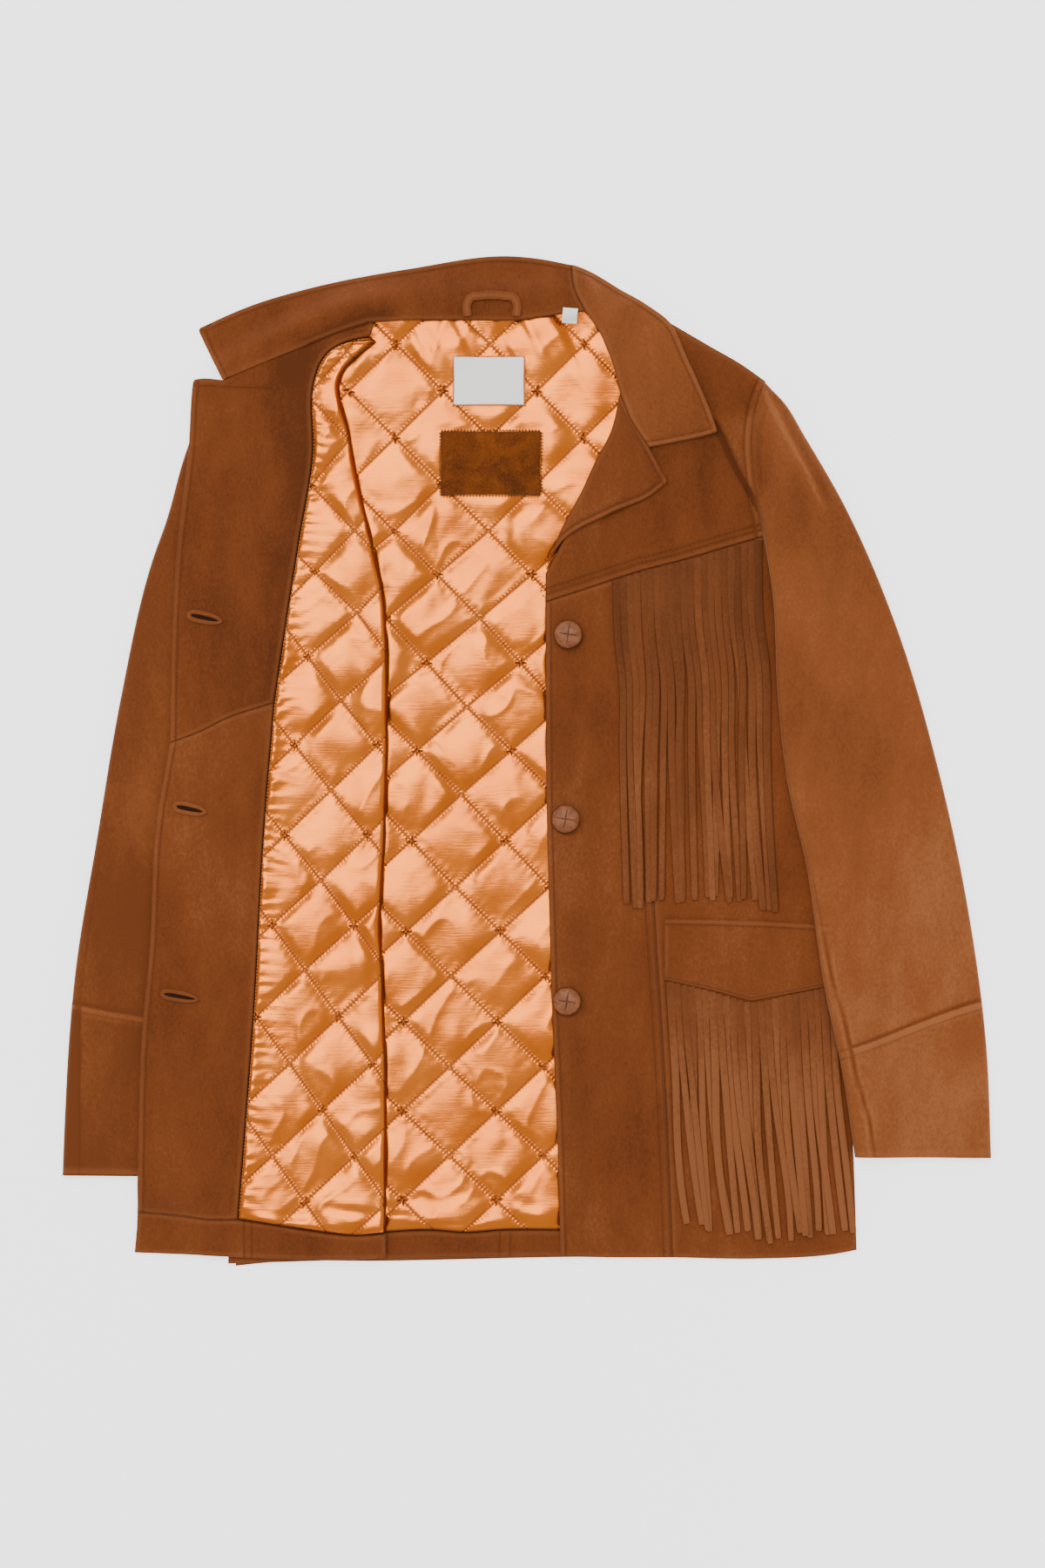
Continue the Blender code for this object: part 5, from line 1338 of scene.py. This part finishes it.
def leather_button(name, node, place, on):
    """Height is a flattened dome, less a groove along each join, plus the ramp of the strip beside it."""
    out = np.concatenate([[0.0], np.linspace(0.04, 0.94, 26), [0.97, 0.99, 1.0, 1.0]])[:, None]
    way = np.linspace(0, 2 * math.pi, 97)[None, :-1]
    turned = way + 0.20 * out + 0.06
    quarter_turn = (turned / (math.pi / 2)) % 1
    join = np.minimum(quarter_turn, 1 - quarter_turn) * out * math.pi / 2 * BUTTON_RADIUS
    groove = bell(join, 0.42) * ease((0.80 - out) / 0.25)
    ramp = (0.5 - quarter_turn) * ease(out / 0.3) * ease((0.85 - out) / 0.3)
    dome = np.sqrt(np.maximum(1 - out ** 2.6, 0))
    level = look_up(on, np.array([place]))[0]
    height = level + BUTTON_RISE * (0.30 + 0.70 * dome) - 0.45 * groove + 0.35 * ramp
    height[-1] = level
    x = place[0] + BUTTON_RADIUS * out * np.cos(way)
    y = place[1] + BUTTON_RADIUS * out * np.sin(way)
    rings = np.stack([x, y, height + 0 * x], axis=-1)[1:]
    places = np.vstack([rings.reshape(-1, 3), [[*place, rings[0, :, 2].mean()], [*place, level]]])
    count, around = rings.shape[:2]
    number = np.arange(count * around).reshape(count, around)
    beyond = np.roll(number, -1, axis=1)
    crown = np.stack([np.full(around, number.size), number[0], beyond[0]], -1)
    foot = np.stack([np.full(around, number.size + 1), beyond[-1], number[-1]], -1)
    # Painted shade darkens the rim, where the dome curves down to the cloth; the joins are darker
    # leather, and the crowns rubbed lighter.
    rim = ease((1.0 - out[1:]) / 0.10)
    worn = np.append(((1 - 0.75 * groove[1:]) * (0.15 + 0.85 * rim)).ravel(), [0.7, 0.2])
    into_mesh(name, places, [tube_faces(number), crown, foot], BUTTON_LEATHER, "button_leather", [node],
              row=worn)


under_buttons = settled(heap(*pile_left), 5.0, 2.0)
for number, place in enumerate(((61, 500), (59, 352), (60, 206)), 1):
    leather_button(f"leather_button_{number}", f"button_{number}", place, under_buttons)
print("buttons", 2 * BUTTON_RADIUS, "mm across")

# %% [markdown]
# Each buttonhole is bound with two narrow lips of suede that meet at the ends. It is a tube
# bent round a long thin loop: a ring whose width and height are stretched apart, and whose
# section is an oval. Between the lips, a flat disc of nearly black suede is painted shade for
# the open slit.

# %% Bound buttonholes
LIP_AROUND, LIP_SECTION = 72, 12


def buttonhole(name, node, place, length, tall, tilt, on):
    """A stretched ring: along it an angle picks the place, and round its section another the skin.
    A flat disc between the lips, nearly black, is painted shade for the open slit."""
    ring = np.linspace(0, 2 * math.pi, LIP_AROUND + 1)[:-1, None]
    section = np.linspace(0, 2 * math.pi, LIP_SECTION + 1)[None, :-1]
    lip = 0.34 * tall
    reach = 1 + lip / 2 * np.cos(section) / (tall / 2 - lip / 2)
    along_it = ((length / 2 - lip / 2 + lip / 2 * np.cos(section))
                * np.sign(np.cos(ring)) * np.abs(np.cos(ring)) ** 0.7)
    up = (tall / 2 - lip / 2) * reach * np.sin(ring) * (1 - 0.25 * np.cos(ring))
    level = look_up(on, np.array([place]))[0]
    height = level + 0.75 + 0.75 * np.sin(section) + 0 * ring
    x = place[0] + along_it * math.cos(tilt) - up * math.sin(tilt)
    y = place[1] + along_it * math.sin(tilt) + up * math.cos(tilt)
    lips = np.stack([x, y, height], axis=-1)
    number = np.arange(height.size).reshape(height.shape)
    beyond = np.roll(number, -1, axis=0)
    squares = np.stack([number, beyond, np.roll(beyond, -1, axis=1), np.roll(number, -1, axis=1)], -1)
    mouth = lips[:, LIP_SECTION // 2, :2]
    slit = [np.column_stack([mouth, np.full(LIP_AROUND, level + rise)]) for rise in (0.9, 0.4)]
    top = np.arange(LIP_AROUND) + number.size
    under, centre = top + LIP_AROUND, np.full(LIP_AROUND, number.size + 2 * LIP_AROUND)
    after_top, after_under = np.roll(top, -1), np.roll(under, -1)
    fans = np.concatenate([np.stack([top, after_top, centre], -1),
                           np.stack([after_under, under, centre + 1], -1)])
    wall = np.stack([under, after_under, after_top, top], -1)
    places = np.vstack([lips.reshape(-1, 3), *slit, [[*place, level + 0.9], [*place, level + 0.4]]])
    in_slit = np.arange(len(places)) >= number.size
    # The slit's disc takes the nearly black finish and a very low tone, as painted shade for the open
    # slit; the lips are a little lighter.
    piece = into_mesh(name, places, [squares.reshape(-1, 4), wall, fans], SUEDE_DEEP, "suede", [node],
                      edge=np.full(len(places), 2.0), row=np.full(len(places), 60.0),
                      tone=np.where(in_slit, -12.0, 0.6))
    piece.data.materials.append(SUEDE_SLIT_SHADE)
    cut = np.arange(len(piece.data.polygons)) >= number.size
    piece.data.polygons.foreach_set("material_index", cut.astype(np.int32))


on_facing = settled(heap(facing_upper, facing_lower), 2.0, 2.0)
HOLES = [((-230, 513), 29, 10, -12), ((-242, 360), 28, 10, -12), ((-250, 210), 31, 9, -10)]
for number, (place, length, tall, degrees) in enumerate(HOLES, 1):
    buttonhole(f"bound_buttonhole_{number}", f"buttonhole_welt_{number}", place, length, tall,
               math.radians(degrees), on_facing)
print("buttonholes", len(HOLES))

# %% [markdown]
# Small pieces are sewn to the lining at the neck: a plain woven label, a patch of dark suede
# whose edge is caught with zigzag stitches, a tab in the neck seam, and the loop that the coat
# hangs by.

# %% Label, patch, tab and hanger loop
LABEL_WALL = 1.0


def box_sides(low, high, bow=0.6):
    """Four sides of an upright rectangle, each bowed a little, as cloth pulls between its corners."""
    (x0, y0), (x1, y1) = low, high
    xm, ym = (x0 + x1) / 2, (y0 + y1) / 2
    return (curve((x0, y0), (xm, y0 + bow), (x1, y0)), curve((x0, y1), (xm, y1 - bow), (x1, y1)),
            curve((x0, y0), (x0 + bow, ym), (x0, y1)), curve((x1, y0), (x1 - bow, ym), (x1, y1)))


on_lining = settled(heap(back_lining), 3.0, 3.0)
label = lay("neck_label_woven", box_sides(*LABEL_BOX), on_lining, LABEL_WALL, LABEL, "label",
            ["neck_label"], step=1.6, relief=ripple(14, 0.35, 91, 2.4, 0.1),
            rests_on="back_lining_satin", edge_round=0.8)
patch = lay("neck_patch_suede", box_sides(*PATCH_BOX), on_lining, LABEL_WALL + 0.4, PATCH_SUEDE,
            "suede_patch", ["neck_patch"], step=1.6, relief=ripple(24, 0.5, 93),
            rests_on="back_lining_satin", edge_round=0.9)
on_neck = settled(heap(back_lining, collar_open, leaf), 2.0, 2.0)
lay("size_tab_woven",
    (curve((56, 750), (68, 749)), curve((57, 762), (69, 761)), curve((56, 750), (57, 762)),
     curve((68, 749), (69, 761))),
    on_neck, LABEL_WALL, LABEL, "label", ["size_tab"], step=1.0, rests_on="collar_open_suede",
    edge_round=0.8)


def zigzag(box, height, pitch=2.6, reach=1.5):
    """Slanted stitches over a rectangle's edge: their ends lie just inside and outside it in turn."""
    low, high = box
    ring = np.array([low, (high[0], low[1]), high, (low[0], high[1]), low])
    path = spaced(ring, pitch / 2)
    swing = np.where(np.arange(len(path)) % 2 == 0, -reach, reach)[:, None]
    points = path + left_of(heading(path)) * swing
    level = np.maximum(height(points), look_up(on_lining, points) + 0.2)
    places = np.column_stack([points, level + 0.25])
    return np.stack([places[:-1], places[1:]], axis=1)


threads["brown"].append(zigzag(PATCH_BOX, patch.height))
threads["copper"].append(zigzag(LABEL_BOX, label.height, 2.4, 0.8))

strap_line = curve((-19.5, 755), (-20, 764), (-17, 769.5), (-10, 770.8), (10, 770.8), (17, 769.5),
                   (20, 764), (19.5, 755), step=1.0)


def strap(name, path, wide, wall, on):
    """A flat strap along a path: a rounded section, carried along it on the cloth below."""
    turn = np.linspace(0, 2 * math.pi, 17)[:-1]
    across = np.sign(np.cos(turn)) * np.abs(np.cos(turn)) ** 0.5 * wide / 2
    rise = np.sign(np.sin(turn)) * np.abs(np.sin(turn)) ** 0.6 * wall / 2
    plan = path[:, None] - across[None, :, None] * left_of(heading(path))[:, None]
    level = look_up(on, path) + wall / 2 + 0.6
    places = np.concatenate([plan, (level[:, None] + rise)[..., None]], axis=-1)
    count, around = places.shape[:2]
    number = np.arange(count * around).reshape(count, around)
    ends = [number[:1], number[-1:, ::-1]]
    edge = np.tile(np.clip(wide / 2 - np.abs(across), 0.5, 9), count)
    piece = into_mesh(name, places.reshape(-1, 3), [tube_faces(number), *ends], SUEDE_LIGHT, "suede",
                      ["hanger_loop"], edge=edge,
                      row=np.tile(wide / 2 - np.abs(across) - 1.4, count) * 1.5, tone=0 * edge)


strap("hanger_loop_suede", strap_line, 6.6, 2.2, on_neck)
print("neck pieces made")

# %% [markdown]
# The quilting's own stitches follow the lattice. Along one family of lines, across equals a
# whole number less up, and along the other it is up less a whole number, so x can be worked
# out for every y, and what falls outside the panel is left out.

# %% Quilting stitches
def quilt_lines(column, count, wide):
    """Every sewn line as a path: for each whole number, x from the column's place and count at each y."""
    y = np.arange(0.0, 790.0, 1.5)
    level = column[::-1, 1]
    at, up = np.interp(y, level, column[::-1, 0]), np.interp(y, level, count[::-1])
    for whole in range(-8, 24):
        for across in (whole - up, up - whole):
            yield np.column_stack([at + wide * across, y])


def sew_quilt(cloth, quilt, shown, pitch=3.3):
    """Stitches on the parts of the lines that lie inside the panel."""
    for path in quilt_lines(*quilt):
        near = inside(path, cloth.outline) & (measured(path, cloth.outline)[0] > 2.5) & shown(path)
        for run in np.split(np.arange(len(path)), np.flatnonzero(np.diff(near.astype(int))) + 1):
            if near[run[0]] and len(run) > 3:
                sew("copper", path[run], cloth.height, pitch, 2.2, 0.1)


def beyond_patches(path):
    """Clear of the label and the patch, and on the part that the front doesn't cover."""
    clear = np.ones(len(path), bool)
    for low, high in (LABEL_BOX, PATCH_BOX):
        clear &= ((path < low - 1) | (path > high + 1)).any(axis=1)
    return clear & (path[:, 0] > -95)


sew_quilt(back_lining, BACK_QUILT, beyond_patches)
sew_quilt(front_lining, FRONT_QUILT, lambda path: measured(path, lining_roll)[0] > 2)
sew("copper", beside(facing_line, -1.2)[4:-12], front_lining.height, 2.7, 2.1, 0.25)
print("copper rows:", len(threads["copper"]), "brown rows:", len(threads["brown"]))

# %% [markdown]
# Now every gathered stitch becomes a spindle: two tips, and near each of them a ring of four
# corners round the line between the ends. One array holds all of them.

# %% Make the stitches
def thread_mesh(name, kind, finish, slot, thick):
    """Ten corners for each stitch: its tips, and two rings of four, sideways and up from its line."""
    ends = np.concatenate(threads[kind])
    start, end = ends[:, 0], ends[:, 1]
    way = end - start
    way /= np.linalg.norm(way, axis=1)[:, None]
    side = np.column_stack([-way[:, 1], way[:, 0], np.zeros(len(way))])
    side /= np.linalg.norm(side, axis=1)[:, None]
    up = np.cross(way, side)
    spokes = np.stack([side, up, -side, -up], axis=1) * thick / 2
    rings = [start[:, None] + share * (end - start)[:, None] + spokes for share in (0.18, 0.82)]
    places = np.concatenate([start[:, None], rings[0], rings[1], end[:, None]], axis=1)
    base = (np.arange(len(ends)) * 10)[:, None, None]
    tips = np.array([(0, 2, 1), (0, 3, 2), (0, 4, 3), (0, 1, 4),
                     (9, 5, 6), (9, 6, 7), (9, 7, 8), (9, 8, 5)])
    sides = np.array([(1, 2, 6, 5), (2, 3, 7, 6), (3, 4, 8, 7), (4, 1, 5, 8)])
    into_mesh(name, places.reshape(-1, 3), [(base + sides).reshape(-1, 4), (base + tips).reshape(-1, 3)],
              finish, slot, ())
    print(name, len(ends), "stitches")


thread_mesh("stitches_brown", "brown", THREAD_BROWN, "suede", 0.75)
thread_mesh("stitches_copper", "copper", THREAD_COPPER, "satin_lining", 0.6)

# %% [markdown]
# The table is a wide pale sheet just under the coat.

table_finish = Finish("table_pale")
table_finish.set(Base_Color=(0.93, 0.93, 0.93), Roughness=0.9, Specular_IOR_Level=0.1,
                 Emission_Color=(1, 1, 1), Emission_Strength=1.5)
table_mesh = bpy.data.meshes.new("table_top")
REACH, BELOW = 6.0, -0.0004
table_mesh.from_pydata([(x * REACH, y * REACH, BELOW) for x, y in ((-1, -1), (1, -1), (1, 1), (-1, 1))],
                       [], [(0, 1, 2, 3)])
table_mesh.materials.append(table_finish.material)
table_top = bpy.data.objects.new("table_top", table_mesh)
bpy.context.scene.collection.objects.link(table_top)
